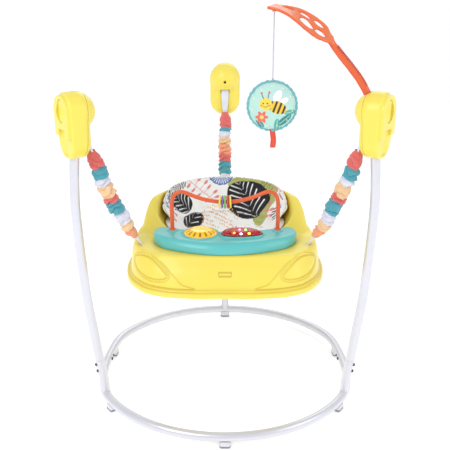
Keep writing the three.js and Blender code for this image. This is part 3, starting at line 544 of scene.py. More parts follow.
def plastic(name, col, rough=0.34, dark=0.93, coat=0.25, grain=0.35, sss=0.0):
    """Moulded plastic: faint mottling, fine grain, a painted highlight on sharp convex edges and painted shade in
    creases and corners.
    """
    m, nt, b = new_mat(name)
    base = rgba(col)
    low = tuple(c * dark for c in base[:3]) + (1,)
    c1 = mixrgb(nt, maprange(nt, noise(nt, 4, 2, 0.4), 0.3, 0.7, 0, 1), base, low)
    # painted highlight: convex edges, found by pointiness, take a lighter copy of the colour, as if light shone through
    # the thin plastic there
    geo = nt.nodes.new("ShaderNodeNewGeometry")
    edge = maprange(nt, geo.outputs["Pointiness"], 0.505, 0.56, 0, 0.28)
    light = tuple(min(1, c * 1.05 + 0.03) for c in base[:3]) + (1,)
    c2 = mixrgb(nt, edge, c1, light)
    # painted shade: ambient occlusion darkens the colour in creases and corners
    ao = nt.nodes.new("ShaderNodeAmbientOcclusion")
    ao.inputs["Distance"].default_value = 0.012
    ao.samples = 8
    crease = maprange(nt, ao.outputs["AO"], 0.3, 0.95, 0.6, 0)
    painted_shade = tuple(c ** 1.35 * 0.72 for c in base[:3]) + (1,)
    c3 = mixrgb(nt, crease, c2, painted_shade)
    nt.links.new(c3, b.inputs["Base Color"])
    nt.links.new(maprange(nt, noise(nt, 60, 3), 0.3, 0.7, rough - 0.02, rough + 0.03), b.inputs["Roughness"])
    b.inputs["Coat Weight"].default_value = coat
    b.inputs["Coat Roughness"].default_value = 0.18
    b.inputs["Specular IOR Level"].default_value = 0.45
    if sss:
        b.inputs["Subsurface Weight"].default_value = sss
        b.inputs["Subsurface Radius"].default_value = (0.004, 0.003, 0.0015)
        b.inputs["Subsurface Scale"].default_value = 1.0
    n1 = bump(nt, b, noise(nt, 1400, 2), 0.06 * grain, 0.0004)
    bump(nt, b, noise(nt, 18, 2), 0.02 * grain, 0.0015, n1)
    return m


def clear(name, col, alpha, rough=0.08, trans=0.75):
    m, nt, b = new_mat(name)
    base = rgba(col)
    low = tuple(c * 0.8 for c in base[:3]) + (1,)
    nt.links.new(mixrgb(nt, maprange(nt, noise(nt, 30, 2), 0.35, 0.65, 0, 1), base, low), b.inputs["Base Color"])
    nt.links.new(maprange(nt, noise(nt, 90, 3), 0.3, 0.7, rough, rough + 0.06), b.inputs["Roughness"])
    b.inputs["Transmission Weight"].default_value = trans
    b.inputs["IOR"].default_value = 1.46
    b.inputs["Coat Weight"].default_value = 0.6
    b.inputs["Coat Roughness"].default_value = 0.04
    bump(nt, b, noise(nt, 140, 2), 0.08, 0.001)
    return m


def weave(nt, bsdf, pitch=0.0009, strength=0.35, uv=True, prev=None):
    """Plain weave: two sets of threads, over and under."""
    tc = nt.nodes.new("ShaderNodeTexCoord")
    sepx = nt.nodes.new("ShaderNodeSeparateXYZ")
    nt.links.new(tc.outputs["UV" if uv else "Object"], sepx.inputs[0])
    k = 2 * math.pi / pitch
    su = math_node(nt, "SINE", math_node(nt, "MULTIPLY", sepx.outputs["X"], k))
    sv = math_node(nt, "SINE", math_node(nt, "MULTIPLY", sepx.outputs["Y"], k))
    h = math_node(nt, "MULTIPLY", su, sv)
    h2 = math_node(nt, "ADD", h, math_node(nt, "MULTIPLY", noise(nt, 900, 2), 1.2))
    return bump(nt, bsdf, h2, strength, 0.00025, prev)


def fabric(name, col=None, paint=False, rough=0.85, uv=True, pitch=0.0009, sheen=0.35, wrinkle=0.4, var=0.9):
    m, nt, b = new_mat(name)
    if paint:
        att = nt.nodes.new("ShaderNodeVertexColor")
        att.layer_name = "paint"
        src = att.outputs["Color"]
    else:
        src = None
    tone = maprange(nt, noise(nt, 45, 4), 0.3, 0.7, 0, 1)
    if src is None:
        base = rgba(col)
        c = mixrgb(nt, tone, base, tuple(x * var for x in base[:3]) + (1,))
    else:
        shade = mixrgb(nt, tone, (1, 1, 1, 1), (var, var, var, 1))
        c = mixrgb(nt, 1.0, src, shade, "MULTIPLY")
    # painted shade: ambient occlusion darkens the cloth's colour in its folds, tucks and seams
    ao = nt.nodes.new("ShaderNodeAmbientOcclusion")
    ao.inputs["Distance"].default_value = 0.01
    ao.samples = 8
    fold = maprange(nt, ao.outputs["AO"], 0.2, 0.9, 0.22, 0)
    c = mixrgb(nt, fold, c, mixrgb(nt, 1.0, c, (0.55, 0.5, 0.55, 1), "MULTIPLY"))
    nt.links.new(c, b.inputs["Base Color"])
    b.inputs["Roughness"].default_value = rough
    b.inputs["Sheen Weight"].default_value = sheen
    b.inputs["Sheen Roughness"].default_value = 0.5
    b.inputs["Specular IOR Level"].default_value = 0.25
    n1 = bump(nt, b, noise(nt, 120, 5, 0.6), wrinkle, 0.0012)
    weave(nt, b, pitch, 0.3, uv, n1)
    return m


def metal(name, col, rough=0.3, metallic=1.0, coat=0.0, grain=0.3):
    m, nt, b = new_mat(name)
    base = rgba(col)
    low = tuple(c * 0.9 for c in base[:3]) + (1,)
    low = tuple(c * 0.97 for c in base[:3]) + (1,)
    nt.links.new(mixrgb(nt, maprange(nt, noise(nt, 12, 2), 0.3, 0.7, 0, 1), base, low), b.inputs["Base Color"])
    nt.links.new(maprange(nt, noise(nt, 60, 2), 0.3, 0.7, rough - 0.02, rough + 0.03), b.inputs["Roughness"])
    b.inputs["Metallic"].default_value = metallic
    b.inputs["Coat Weight"].default_value = coat
    b.inputs["Coat Roughness"].default_value = 0.08
    bump(nt, b, noise(nt, 900, 2), 0.1 * grain, 0.0003)
    return m


YELLOW = plastic("yellow_moulded", (247, 228, 93), rough=0.33, dark=0.965, coat=0.2)
TEAL = plastic("teal_moulded", (96, 194, 192), rough=0.3, dark=0.97, coat=0.3, grain=0.2)
ORANGE = plastic("orange_moulded", (228, 92, 36), rough=0.33, coat=0.3)
WHITE_PL = plastic("white_moulded", (233, 233, 230), rough=0.45, coat=0.0)
FOOT = plastic("foot_moulded", (226, 227, 231), rough=0.45, coat=0.0)
RUBBER = plastic("foot_tread", (140, 143, 149), rough=0.75, coat=0.0, grain=1.5)
STEEL = metal("powder_coated_tube", (222, 222, 229), rough=0.3, metallic=0.45, coat=0.35, grain=0.0)
BOLT = metal("dark_zinc", (92, 94, 100), rough=0.35)
WIRE = metal("spring_wire", (170, 173, 178), rough=0.25)
BOARD = plastic("circuit_resist", (32, 96, 56), rough=0.4)
# painted shade: near-black plastic that stands in for the shadow inside the housings' screw holes
HOLE_SHADE = plastic("painted_hole_shade", (28, 26, 24), rough=0.7, coat=0)
AMBER = clear("amber_clear", (240, 184, 8), 0.72, trans=0.2)
AMBER_TOP = clear("amber_top", (246, 222, 60), 0.42, trans=0.4)
RED = clear("dark_red_clear", (186, 10, 24), 0.78, trans=0.35)
# painted glow: the spinner's amber plastic and the red light cover get a faint emission of their own, though they are
# not lamps; it stands in for light passing through the clear plastic
for m_, c_, k_ in ((AMBER, (1.0, 0.74, 0.01, 1), 0.28), (AMBER_TOP, (1.0, 0.80, 0.06, 1), 0.22), (RED, (0.55, 0.004, 0.015, 1), 0.18)):
    b_ = [q for q in m_.node_tree.nodes if q.type == "BSDF_PRINCIPLED"][0]
    b_.inputs["Emission Color"].default_value = c_
    b_.inputs["Emission Strength"].default_value = k_
GREEN = plastic("green_moulded", (70, 190, 50), rough=0.35)


def paint_crease_shade(m, dist, tint, lo_, hi_, amount):
    """Painted shade: darken the colour in the creases of a moulded piece, where ambient occlusion finds them."""
    nt = m.node_tree
    b = [n for n in nt.nodes if n.type == "BSDF_PRINCIPLED"][0]
    src = b.inputs["Base Color"].links[0].from_socket
    ao = nt.nodes.new("ShaderNodeAmbientOcclusion")
    ao.inputs["Distance"].default_value = dist
    ao.samples = 12
    k = maprange(nt, ao.outputs["AO"], lo_, hi_, amount, 0)
    nt.links.new(mixrgb(nt, k, src, mixrgb(nt, 1.0, src, tint, "MULTIPLY")), b.inputs["Base Color"])


def finish_node(node, mat):
    """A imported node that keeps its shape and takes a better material."""
    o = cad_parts[node]
    o.data.materials.clear()
    o.data.materials.append(mat)


# ====================================================== cord first, then frame
ARM_Y = -170.3
BEE = (117.0, 860.5, 64.0)
cord_path = np.array([[117, ARM_Y, z] for z in np.linspace(1083.1, 925.2, 40)])
CORD_MAT = fabric("cord_braid", (186, 188, 195), uv=False, pitch=0.0012)
cv, cf = tube(cord_path, 1.2, 12)
cord = mesh("cord", cv, cf, [CORD_MAT])
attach(cord, "toy")
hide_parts("toy_cord")

# ----------------------------------------------------------------- steel tubes
TR = 12.7
RING_Z = 26.0


def ring_point(t):
    x = 388.5 * np.cos(t)
    y = 369 * np.sin(t)
    ax = np.abs(x)
    x = np.where(ax > 347, np.sign(x) * (347 + (ax - 347) * 0.627), x)
    return np.stack([x, y, np.full_like(x, RING_Z)], -1)


def ring_path(t0, t1, y0):
    mid = ring_point(np.linspace(t0, t1, 121))
    sx = np.sign(mid[0, 0])
    a = [[sx * 370.5, y0, RING_Z], [sx * 370.5, y0 + np.sign(mid[0, 1] - y0) * 13, RING_Z]]
    b = [[-sx * 370.5, a[1][1], RING_Z], [-sx * 370.5, y0, RING_Z]]
    p = np.concatenate([a, mid, b])
    # smooth where the straight ends meet the bend
    for _ in range(6):
        p[2:-2] = 0.25 * p[1:-3] + 0.5 * p[2:-2] + 0.25 * p[3:-1]
    return resample(p, 260)


SIDE_LEG = [(27, 382.5), (80, 386), (140, 394), (230, 404.5), (330, 416), (430, 422.5), (520, 427), (610, 429), (700, 424.5), (760, 418.5), (800, 413)]
REAR_LEG = [(z, r - 13.5 * (1 - float(smooth(20, 330, z)))) for z, r in SIDE_LEG]
LEG = {"left": SIDE_LEG, "right": SIDE_LEG, "rear": REAR_LEG}


def leg_r(side, z):
    t = LEG[side]
    return pchip([a for a, _ in t], [b for _, b in t], z)


def leg_line(side, z0, z1, n):
    z = np.linspace(z0, z1, n)
    return np.stack([np.interp(z, [a for a, _ in LEG[side]], [b for _, b in LEG[side]]), z * 0, z], 1)


def smooth_leg(side):
    p = spline([(r, 0, z) for z, r in LEG[side]], 220)
    return p


def cut_leg(side, z0, z1):
    p = smooth_leg(side)
    z = np.linspace(z0, z1, max(int((z1 - z0) / 4), 8))
    return np.stack([np.interp(z, p[:, 2], p[:, 0]), z * 0, z], 1)


def stub_parts(side):
    """Welded leg socket with its weld bead, in ring coordinates."""
    p = cut_leg(side, 26, 138.9)
    v, f = tube(p, TR, 40, round_ends=0.9)
    r0 = p[0, 0]
    a = np.linspace(0, 2 * math.pi, 96, endpoint=False)
    bead = np.stack([r0 + TR * np.cos(a), TR * np.sin(a), RING_Z + TR * np.abs(np.sin(a)) * 0.98], 1)
    wob = 1.25 + 0.25 * np.sin(a * 23) ** 2
    t, n1, n2 = frames(bead, True)
    ph = np.arange(10) * 2 * math.pi / 10
    bv = bead[:, None] + wob[:, None, None] * (n1[:, None] * np.cos(ph)[None, :, None] + n2[:, None] * np.sin(ph)[None, :, None])
    return [(radial(side, v), f), (radial(side, bv.reshape(-1, 3)), [grid_faces(96, 10, True, True)])]


front = ring_path(math.pi + 4 * D, 2 * math.pi - 4 * D, 8.6)
rear = ring_path(15 * D, math.pi - 15 * D, 9.8)
# slip the ends of the joint a little apart so that the seam reads
parts = [tube(front, TR, 40, round_ends=0.9)] + stub_parts("left") + stub_parts("right")
v, f = merge(parts)
o = mesh("ring_front", v, f, [STEEL])
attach(o, "frame"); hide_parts("base_tube_front")
parts = [tube(rear, TR, 40, round_ends=0.9)] + stub_parts("rear")
v, f = merge(parts)
o = mesh("ring_rear", v, f, [STEEL])
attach(o, "frame"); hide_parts("base_tube_rear")

for side in SIDES:
    p = cut_leg(side, 140.9, 799)
    v, f = merge([tube(p, TR, 40, round_ends=0.9), tube(cut_leg(side, 132, 146), TR - 1.0, 32)])
    o = mesh("leg_" + side, radial(side, v), f, [STEEL])
    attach(o, "frame"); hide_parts("leg_tube_" + side)


def bolt_mesh():
    """Washer, domed head with a hex recess, shank. Head towards +x from x = 0."""
    prof = [(2.6, -9), (2.6, -0.2), (5.0, -0.2), (5.0, 0.6), (4.75, 0.7), (4.6, 1.2), (4.3, 2.3), (3.6, 3.1), (2.5, 3.55), (2.05, 3.6), (1.95, 3.4), (1.9, 1.2), (0.05, 1.0)]

    def wave(ph, j):
        hexa = 1 / np.cos((ph % (math.pi / 3)) - math.pi / 6)
        return np.where((j >= 9), hexa * 0.93, 1.0)

    return lathe(prof, 48, "x", wave=wave)


BV, BF = bolt_mesh()
for side in SIDES:
    for tag, z in (("upper", 125), ("lower", 104)):
        p = BV + np.array([float(leg_r(side, z)) + TR + 0.5, 0, z])
        o = mesh(f"bolt_{side}_{tag}", radial(side, p), BF, [BOLT])
        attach(o, "frame"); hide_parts(f"leg_bolt_{side}_{tag}")
for side, sx in (("left", -1), ("right", 1)):
    for tag, y in (("front", 24), ("rear", 44)):
        q = BV.copy()
        if sx > 0:
            q[:, 0] *= -1
            q[:, 1] *= -1
        q = q + np.array([sx * (370.5 - TR - 0.3), y, RING_Z])
        o = mesh(f"ring_bolt_{side}_{tag}", q, BF, [BOLT])
        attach(o, "frame"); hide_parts(f"base_bolt_{side}_{tag}")

# ------------------------------------------------------------------------ feet
oct_pts = [(-11, -14), (11, -14), (15, -10), (15, 10), (11, 14), (-11, 14), (-15, 10), (-15, -10)]


def foot_field(x, y, z):
    d2 = poly2(x, y, oct_pts)
    taper = d2 + np.maximum(z - 9, 0) * 0.10
    f = extr(taper, z, 0.0, 20.0, 2.2)
    f = smax(f, -(np.hypot(y, z - RING_Z) - 13.6), 1.2)
    # a groove between the tread and the clip
    g = np.abs(z - 5.2) - 0.9
    f = smax(f, np.minimum(-(np.maximum(-g, 0)) , 0) + np.where(g < 0, d2 + 1.4, -50), 0.6)
    return f


FV, FF = nets(foot_field, (-26, -19, -2), (26, 19, 23), 1.3)
FV[:, 2] = np.maximum(FV[:, 2], 0)
fz = FV[FF[0]].mean(1)[:, 2]
for node in ("foot_front", "foot_rear", "foot_front_left", "foot_front_right", "foot_rear_left", "foot_rear_right"):
    lo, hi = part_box(node)
    cx, cy = (lo.x + hi.x) * 500, (lo.y + hi.y) * 500 - SY
    # direction of the ring under this foot
    both = np.concatenate([front, rear])
    i = int(np.argmin(np.hypot(both[:, 0] - cx, both[:, 1] - cy)))
    j = i + 2 if i + 2 < len(both) else i - 2
    ang = math.atan2(both[j, 1] - both[i, 1], both[j, 0] - both[i, 0])
    c, s = math.cos(ang), math.sin(ang)
    p = np.stack([cx + FV[:, 0] * c - FV[:, 1] * s, cy + FV[:, 0] * s + FV[:, 1] * c, FV[:, 2]], 1)
    o = mesh("pad_" + node, p, FF, [FOOT, RUBBER], mat_index=(fz < 5.0).astype(int), outward=False)
    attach(o, "frame"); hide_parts(node)


# -------------------------------------------------------------------- housings
def stad(y, z, w, z0, z1):
    zz = np.clip(z, z0 + w, z1 - w)
    return np.hypot(y, z - zz) - w


PLATE = [(43.5, 788), (43.5, 850)] + [(43.5 * math.cos(q), 850 + 41 * math.sin(q)) for q in np.linspace(0.1, math.pi - 0.1, 24)] + [(-43.5, 850), (-43.5, 788), (-20, 788), (-20, 806), (20, 806), (20, 788)]


def housing_field(x, y, z, socket=None):
    body = extr(stad(y, z, 48.5, 730, 897), x, 387, 470, 22)
    body = smax(body, x - 443, 9)
    dome = np.sqrt((x - 410.0) ** 2 + y**2 + (z - 848.5) ** 2) - 48.2
    f = smin(body, dome, 5)
    # half-pipe below the plate
    f = smax(f, -smax(extr(np.hypot(x - 480, (y) * 0.93) - 41.5, z, 738, 900, 6), z - 812, 1), 1.2)
    plate = poly2(y, z, PLATE)
    f = smin(f, extr(plate, x, 425, 450.5, 1.4), 1.0)
    f = smax(f, -extr(stad(y, z, 15.5, 822, 882), x, 446.8, 470, 1.2), 1.2)
    f = smin(f, extr(stad(y, z, 12.2, 825.4, 878.6), x, 436, 448.6, 1.2), 0.6)
    # screw hole and strap slot on the inner side
    hole = np.maximum(np.hypot(y, z - 842) - 3.6, x - 376)
    rim = np.maximum(np.hypot(y, z - 842) - 5.6, x - 365.2)
    f = smax(f, -np.minimum(hole, rim), 0.8)
    f = smax(f, -extr(np.maximum(np.abs(y) - 14, np.abs(z - 811) - 6), x, 350, 398, 1.0), 1.2)
    if socket is not None:
        f = smax(f, -np.maximum(np.hypot(x - socket[0], y - socket[1]) - 10.2, 880 - z), 1.2)
    return f


TURN = {"left": 8 * D, "right": -8 * D, "rear": 0.0}


def turned(side, v):
    """A housing and its webbing turn about the leg to face the seat."""
    v = np.asarray(v, float)
    c, s = math.cos(TURN[side]), math.sin(TURN[side])
    x = v[:, 0] - 418
    return radial(side, np.stack([418 + x * c - v[:, 1] * s, x * s + v[:, 1] * c, v[:, 2]], 1))


def seam_x(z):
    return 392 + (897 - z) * 13 / 167


def housing_half(which, socket=None):
    k = math.cos(math.atan2(13, 167))

    def fld(x, y, z):
        f = housing_field(x, y, z, socket)
        cut = (x - seam_x(z)) * k
        return smax(f, (cut + 0.3) if which == "inner" else (0.3 - cut), 1.0)

    lo = (358, -52, 727) if which == "inner" else (388, -52, 727)
    hi = (410, 52, 900) if which == "inner" else (455, 52, 900)
    return nets(fld, lo, hi, 1.7)


ca, sa = math.cos(AZ["right"]), math.sin(AZ["right"])
sx_, sy_ = 355 * ca + ARM_Y * sa - 418, -355 * sa + ARM_Y * ca
ct, st_ = math.cos(-TURN["right"]), math.sin(-TURN["right"])
socket = (418 + sx_ * ct - sy_ * st_, sx_ * st_ + sy_ * ct)
HALF = {("inner", None): housing_half("inner"), ("outer", None): housing_half("outer"),
        ("inner", "s"): housing_half("inner", socket), ("outer", "s"): housing_half("outer", socket)}
for side in SIDES:
    for which in ("inner", "outer"):
        hv, hf = HALF[(which, "s" if side == "right" else None)]
        fc = hv[hf[0]].mean(1)
        # painted shade: the faces deep inside the screw hole take the near-black material
        painted_shade = (np.hypot(fc[:, 1], fc[:, 2] - 842) < 4.0) & (fc[:, 0] > 367.5) & (fc[:, 0] < 379)
        o = mesh(f"head_{which}_{side}", turned(side, hv), hf, [YELLOW, HOLE_SHADE], mat_index=painted_shade.astype(int), outward=False)
        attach(o, "frame"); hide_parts(f"housing_{which}_{side}")

# ------------------------------------------------------------------- play tray
RIM_T = [(0, 262), (19.4, 277.7), (33.3, 299), (45, 311), (55.6, 308), (68.5, 295), (78, 285.5), (90, 277), (105, 272), (122.5, 272), (142, 277), (161, 283), (180, 285)]
SH_T = [(0, 206), (19.4, 218), (33.3, 240), (45, 262), (55.6, 270), (68.5, 268), (78, 261), (90, 250), (105, 246), (122.5, 247), (142, 254), (161, 264), (180, 270)]
SHELF = 466.0
TZ_T = [(0, SHELF), (77, SHELF), (93, 474), (180, 474)]
OP_RX, OP_RY, OP_CY = 161.0, 140.0, 55.0
with_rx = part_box("seat_ring")
OP_RX = (with_rx[1].x - with_rx[0].x) * 500 - 4
OP_RY = (with_rx[1].y - with_rx[0].y) * 500 - 4
OP_CY = (with_rx[1].y + with_rx[0].y) * 500 - SY


def tab(t, a):
    return pchip([x for x, _ in t], [y for _, y in t], a)


def open_r(phi):
    c, s = np.cos(phi), np.sin(phi)
    A = (c / OP_RX) ** 2 + (s / OP_RY) ** 2
    B = (-2 * s * OP_CY) / OP_RY**2
    C = (OP_CY / OP_RY) ** 2 - 1
    return (-B + np.sqrt(B * B - 4 * A * C)) / (2 * A)


def lerp(a, b, t):
    return a + (b - a) * t


def tray_section(phi):
    """Control points (r, z) of the outer skin from the lip over the top to the opening."""
    a = (phi / D + 90) % 360
    a = np.where(a > 180, 360 - a, a)
    rim, sh, tz = tab(RIM_T, a), tab(SH_T, a), tab(TZ_T, a)
    h = smooth(80, 110, a)
    op = open_r(phi)
    base = lerp(np.minimum(sh - 14, 246), np.where(a > 120, lerp(246, 236, smooth(120, 165, a)), 246), h)
    in_low = np.maximum(op + 5, lerp(op + 5, lerp(201, 213, smooth(95, 170, a)), h))
    top = lerp(tz, 550, h)
    crest_in = lerp(in_low + 3, np.maximum(in_low + 5, 207), h)
    crest = lerp(lerp(in_low, base, 0.4), np.maximum(crest_in + 6, 215), h)
    out_top = lerp(lerp(in_low, base, 0.8), np.maximum(crest + 8, 229), h)
    return dict(a=a, rim=rim, sh=sh, tz=tz, h=h, op=op, base=base, in_low=in_low, top=top, crest_in=crest_in, crest=crest, out_top=out_top)


def tray_mesh():
    # more stations where the outline bends hardest
    n = 560
    phi = np.linspace(0, 2 * math.pi, n, endpoint=False)
    phi = phi - 0.42 * np.cos(phi)  # columns stand closer together at the front
    q = tray_section(phi)
    k = np.ones(n)
    z1, z2 = q["tz"], q["h"]
    # station: (r, z, rounding); flat lip with a step, then the wall, shelf, hood
    P = []

    def pt(r, z, w=3):
        P.append((r * k, z * k, w))

    pt(q["rim"] - 0.3, 375.0, 0)
    pt(q["rim"], 376.0, 0)
    pt(q["rim"], 384.0, 1)
    pt(q["rim"] - 2.0, 387.2, 1)
    pt(q["rim"] - 13.0, 389.2, 1)
    pt(q["rim"] - 16.6, 392.0, 1)
    pt(q["rim"] - 18.0, 399.0, 2)
    pt(lerp(q["rim"] - 17, q["sh"], 0.42), 432, 5)
    pt(q["sh"] + 0.6, z1 - 9, 4)
    pt(q["sh"] - 6.5, z1 - 0.8, 4)
    pt(q["base"], z1, 5)
    pt(q["out_top"], lerp(z1, 541, z2), 5)
    pt(q["crest"], q["top"], 5)
    pt(q["crest_in"], lerp(z1, 543, z2), 5)
    pt(q["in_low"], lerp(z1, 492, z2), 5)
    pt(q["op"] + np.minimum(6.5, (q["in_low"] - q["op"]) * 0.8), 474.6, 2)
    pt(q["op"] + 0.6, 474.2, 1)
    pt(q["op"], 473.4, 0)
    pt(q["op"], 450.0, 0)
    ctrl = np.stack([np.stack([p[0], p[1]], -1) for p in P])  # (m, n, 2)
    m = len(P)
    # dense outer skin by a smoothed walk through the control points
    seg = 7
    dense = []
    for i in range(m - 1):
        for t in np.linspace(0, 1, seg, endpoint=False):
            dense.append(ctrl[i] * (1 - t) + ctrl[i + 1] * t)
    dense.append(ctrl[-1])
    S = np.array(dense)
    keep = np.zeros(len(S), bool)
    for i, p in enumerate(P):
        if p[2] == 0:
            keep[i * seg] = True
    rounding = np.array([P[min(i // seg, m - 1)][2] for i in range(len(S))])
    for it in range(9):
        T = S.copy()
        T[1:-1] = 0.25 * S[:-2] + 0.5 * S[1:-1] + 0.25 * S[2:]
        near = np.zeros(len(S))
        for i in range(len(S)):
            c = min(P[(i + seg // 2) // seg if (i + seg // 2) // seg < m else m - 1][2], 9)
            near[i] = 1.0 if it < 2 * c else 0.0
        near[keep] = 0
        S = S + (T - S) * near[:, None, None]
    outer = S
    inner = []
    # inner skin 3 mm under the outer one, found along the section's normal
    d = np.gradient(outer, axis=0)
    L = np.linalg.norm(d, axis=2, keepdims=True)
    nrm = np.stack([d[..., 1], -d[..., 0]], -1) / np.maximum(L, 1e-6)
    inner = outer + nrm * 3.2
    inner[0] = [0, 0]
    ins = inner[3:-3]
    ring = [outer]
    lipin = np.stack([q["rim"] - 3.0, 375.0 * k], -1)
    lipin2 = np.stack([q["rim"] - 3.2, 381.0 * k], -1)
    opin = np.stack([q["op"] + 3.2, 450.0 * k], -1)
    opin2 = np.stack([q["op"] + 3.4, 470.0 * k], -1)
    body = ins[::-1]
    # keep only inner points that lie clear of the lip and of the collar
    lo = 4 * seg
    body = inner[lo : len(outer) - 4 * seg + 3][::-1]
    # the wall that carries the moulded shapes is cut finer
    fine_rows = [outer[: 5 * seg]]
    for i in range(5 * seg, 10 * seg):
        p0, p1, p2, p3 = outer[i - 1], outer[i], outer[i + 1], outer[i + 2]
        for t in np.linspace(0, 1, 4, endpoint=False):
            fine_rows.append((0.5 * (2 * p1 + (p2 - p0) * t + (2 * p0 - 5 * p1 + 4 * p2 - p3) * t * t + (3 * p1 - p0 - 3 * p2 + p3) * t**3))[None])
    fine_rows.append(outer[10 * seg :])
    outer = np.concatenate(fine_rows)
    prof = np.concatenate([outer, opin[None], opin2[None], body, lipin2[None], lipin[None]])
    return phi, prof, len(outer), q


phi, prof, n_out, tq = tray_mesh()
TV = np.stack([prof[..., 0] * np.cos(phi), prof[..., 0] * np.sin(phi), prof[..., 1]], -1)


def tray_detail(V):
    """Raised corner pods with a swooping crease, rounded pads, a label frame and ribs on the outer skin."""
    x, y, z = V[..., 0], V[..., 1], V[..., 2]
    d = np.zeros(x.shape)
    al = np.degrees(np.arctan2(np.abs(x), -y))
    # the pod ends at a crease that sweeps down and inward
    cz = [396, 399, 404, 418, 431, 452, 466]
    ca = [17.0, 20.5, 24.3, 28.2, 32.1, 39.9, 49.0]
    arc = pchip(cz, ca, z)
    away = al - arc
    pod = smooth(-0.25, 0.9, away) * smooth(86, 66, al)
    groove = np.exp(-(((away + 0.7) / 0.8) ** 2)) * smooth(86, 66, al)
    band = smooth(392, 397, z) * smooth(470, 462, z)
    d = d + (5.2 * pod - 1.6 * groove) * band
    # hollow of the front wall between the two pods
    d = d - 0.5 * smooth(0.0, -14, away) * smooth(396, 410, z) * smooth(452, 440, z)
    # rounded-triangle pad with a bead round it
    tri = poly2(al * 4.6, z, chaikin([(61.5 * 4.6, 446), (54.5 * 4.6, 459), (45.5 * 4.6, 459), (34.5 * 4.6, 431), (32.5 * 4.6, 417), (37.5 * 4.6, 407), (50.5 * 4.6, 411), (60.5 * 4.6, 431)], 3))
    side = smooth(70, 66, al)
    d = d + side * (2.2 * smooth(1.5, -1.5, tri + 4.5) + 1.6 * np.exp(-((tri / 1.5) ** 2)) - 1.6 * np.exp(-(((tri - 3.4) / 1.5) ** 2)) - 1.0 * np.exp(-(((tri + 2.6) / 1.2) ** 2)))
    # blank label field on the middle of the wall
    qx, qz = np.abs(x) - 14.6, np.abs(z - 431.0) - 2.2
    lb = np.hypot(np.maximum(qx, 0), np.maximum(qz, 0)) + np.minimum(np.maximum(qx, qz), 0) - 2.2
    d = np.where(y < 0, d - np.exp(-((lb / 1.05) ** 2)) * 1.5, d)
    # a step under the shelf's edge
    d = d - 1.3 * np.exp(-(((z - 449) / 1.6) ** 2)) * smooth(36, 26, al)
    # nested rib arcs on the outer side of the hood
    for k in range(3):
        rr = np.hypot((al - 98) * 4.2, (z - 470) * 0.9)
        d = d + 1.3 * np.exp(-(((rr - (34 + 15 * k)) / 2.0) ** 2)) * smooth(470, 478, z) * smooth(70, 76, al) * smooth(128, 120, al)
    # never deeper than the 3.2 mm wall allows
    return smax(d, -1.9 + 0 * d, 0.6)


def apply_detail():
    V = TV.copy()
    out = V[:n_out]
    du = np.roll(out, -1, 1) - np.roll(out, 1, 1)
    dv = np.gradient(out, axis=0)
    nr = np.cross(dv, du)
    nr /= np.maximum(np.linalg.norm(nr, axis=2, keepdims=True), 1e-6)
    # point outward from the tray's middle line
    cen = np.stack([np.cos(phi) * 225, np.sin(phi) * 225, np.full_like(phi, 425)], -1)[None]
    sgn = np.sign(((out - cen) * nr).sum(-1, keepdims=True))
    nr *= np.where(sgn == 0, 1, sgn)
    d = tray_detail(out)
    w = smooth(388, 393, out[..., 2]) * smooth(n_out - 42, n_out - 48, np.arange(n_out))[:, None]
    out = out + nr * (d * w)[..., None]
    V[:n_out] = out
    return V


TV2 = apply_detail()
nv, nphi = TV2.shape[0], TV2.shape[1]
tray_faces = grid_faces(nv, nphi, True, True)
YELLOW_TRAY = plastic("yellow_moulded_tray", (246, 226, 94), rough=0.33, dark=0.965, coat=0.2)
# painted shade laid into the tray's creases, its pod grooves and the swoop
paint_crease_shade(YELLOW_TRAY, 0.018, (0.76, 0.58, 0.26, 1), 0.35, 0.985, 1.0)
# the label field's outline is a thin line of painted shade: a darker yellow laid along the moulded groove
YELLOW_GROOVE_SHADE = plastic("yellow_groove_painted_shade", (214, 186, 72), rough=0.4, dark=0.965, coat=0.1)
fc = TV2.reshape(-1, 3)[tray_faces].mean(1)
qx, qz = np.abs(fc[:, 0]) - 14.6, np.abs(fc[:, 2] - 431.0) - 2.2
lb_ = np.hypot(np.maximum(qx, 0), np.maximum(qz, 0)) + np.minimum(np.maximum(qx, qz), 0) - 2.2
groove_shade_faces = (np.abs(lb_) < 1.1) & (fc[:, 1] < -200)
TRAY_OBJ = mesh("play_tray", TV2.reshape(-1, 3), [tray_faces], [YELLOW_TRAY, YELLOW_GROOVE_SHADE], mat_index=groove_shade_faces.astype(int))
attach(TRAY_OBJ, "tray"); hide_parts("tray_shell")


def cut_slots(obj, boxes):
    """Boolean the given boxes (centre mm, size mm, turn) out of obj."""
    vs = []
    for (cx, cy, cz), (sx, sy, sz), rot in boxes:
        c = np.array([(i, j, k) for k in (-1, 1) for j in (-1, 1) for i in (-1, 1)], float) * 0.5 * np.array([sx, sy, sz])
        R = np.array([[math.cos(rot), -math.sin(rot), 0], [math.sin(rot), math.cos(rot), 0], [0, 0, 1]])
        vs.append((c @ R.T + np.array([cx, cy, cz]), np.array([[0, 2, 3, 1], [4, 5, 7, 6], [0, 1, 5, 4], [2, 6, 7, 3], [0, 4, 6, 2], [1, 3, 7, 5]])))
    v, f = merge(vs)
    tool = mesh("cutter", v, f, [obj.data.materials[0]], smooth=False)
    mod = obj.modifiers.new("cut", "BOOLEAN")
    mod.operation = "DIFFERENCE"
    mod.solver = "MANIFOLD"
    mod.object = tool
    dg = bpy.context.evaluated_depsgraph_get()
    new = bpy.data.meshes.new_from_object(obj.evaluated_get(dg), depsgraph=dg)
    obj.modifiers.clear()
    obj.data = new
    bpy.data.objects.remove(tool)


cut_slots(TRAY_OBJ, [((255.5 * math.cos(AZ[s]), 255.5 * math.sin(AZ[s]), 470), (9, 25, 44), AZ[s]) for s in SIDES])

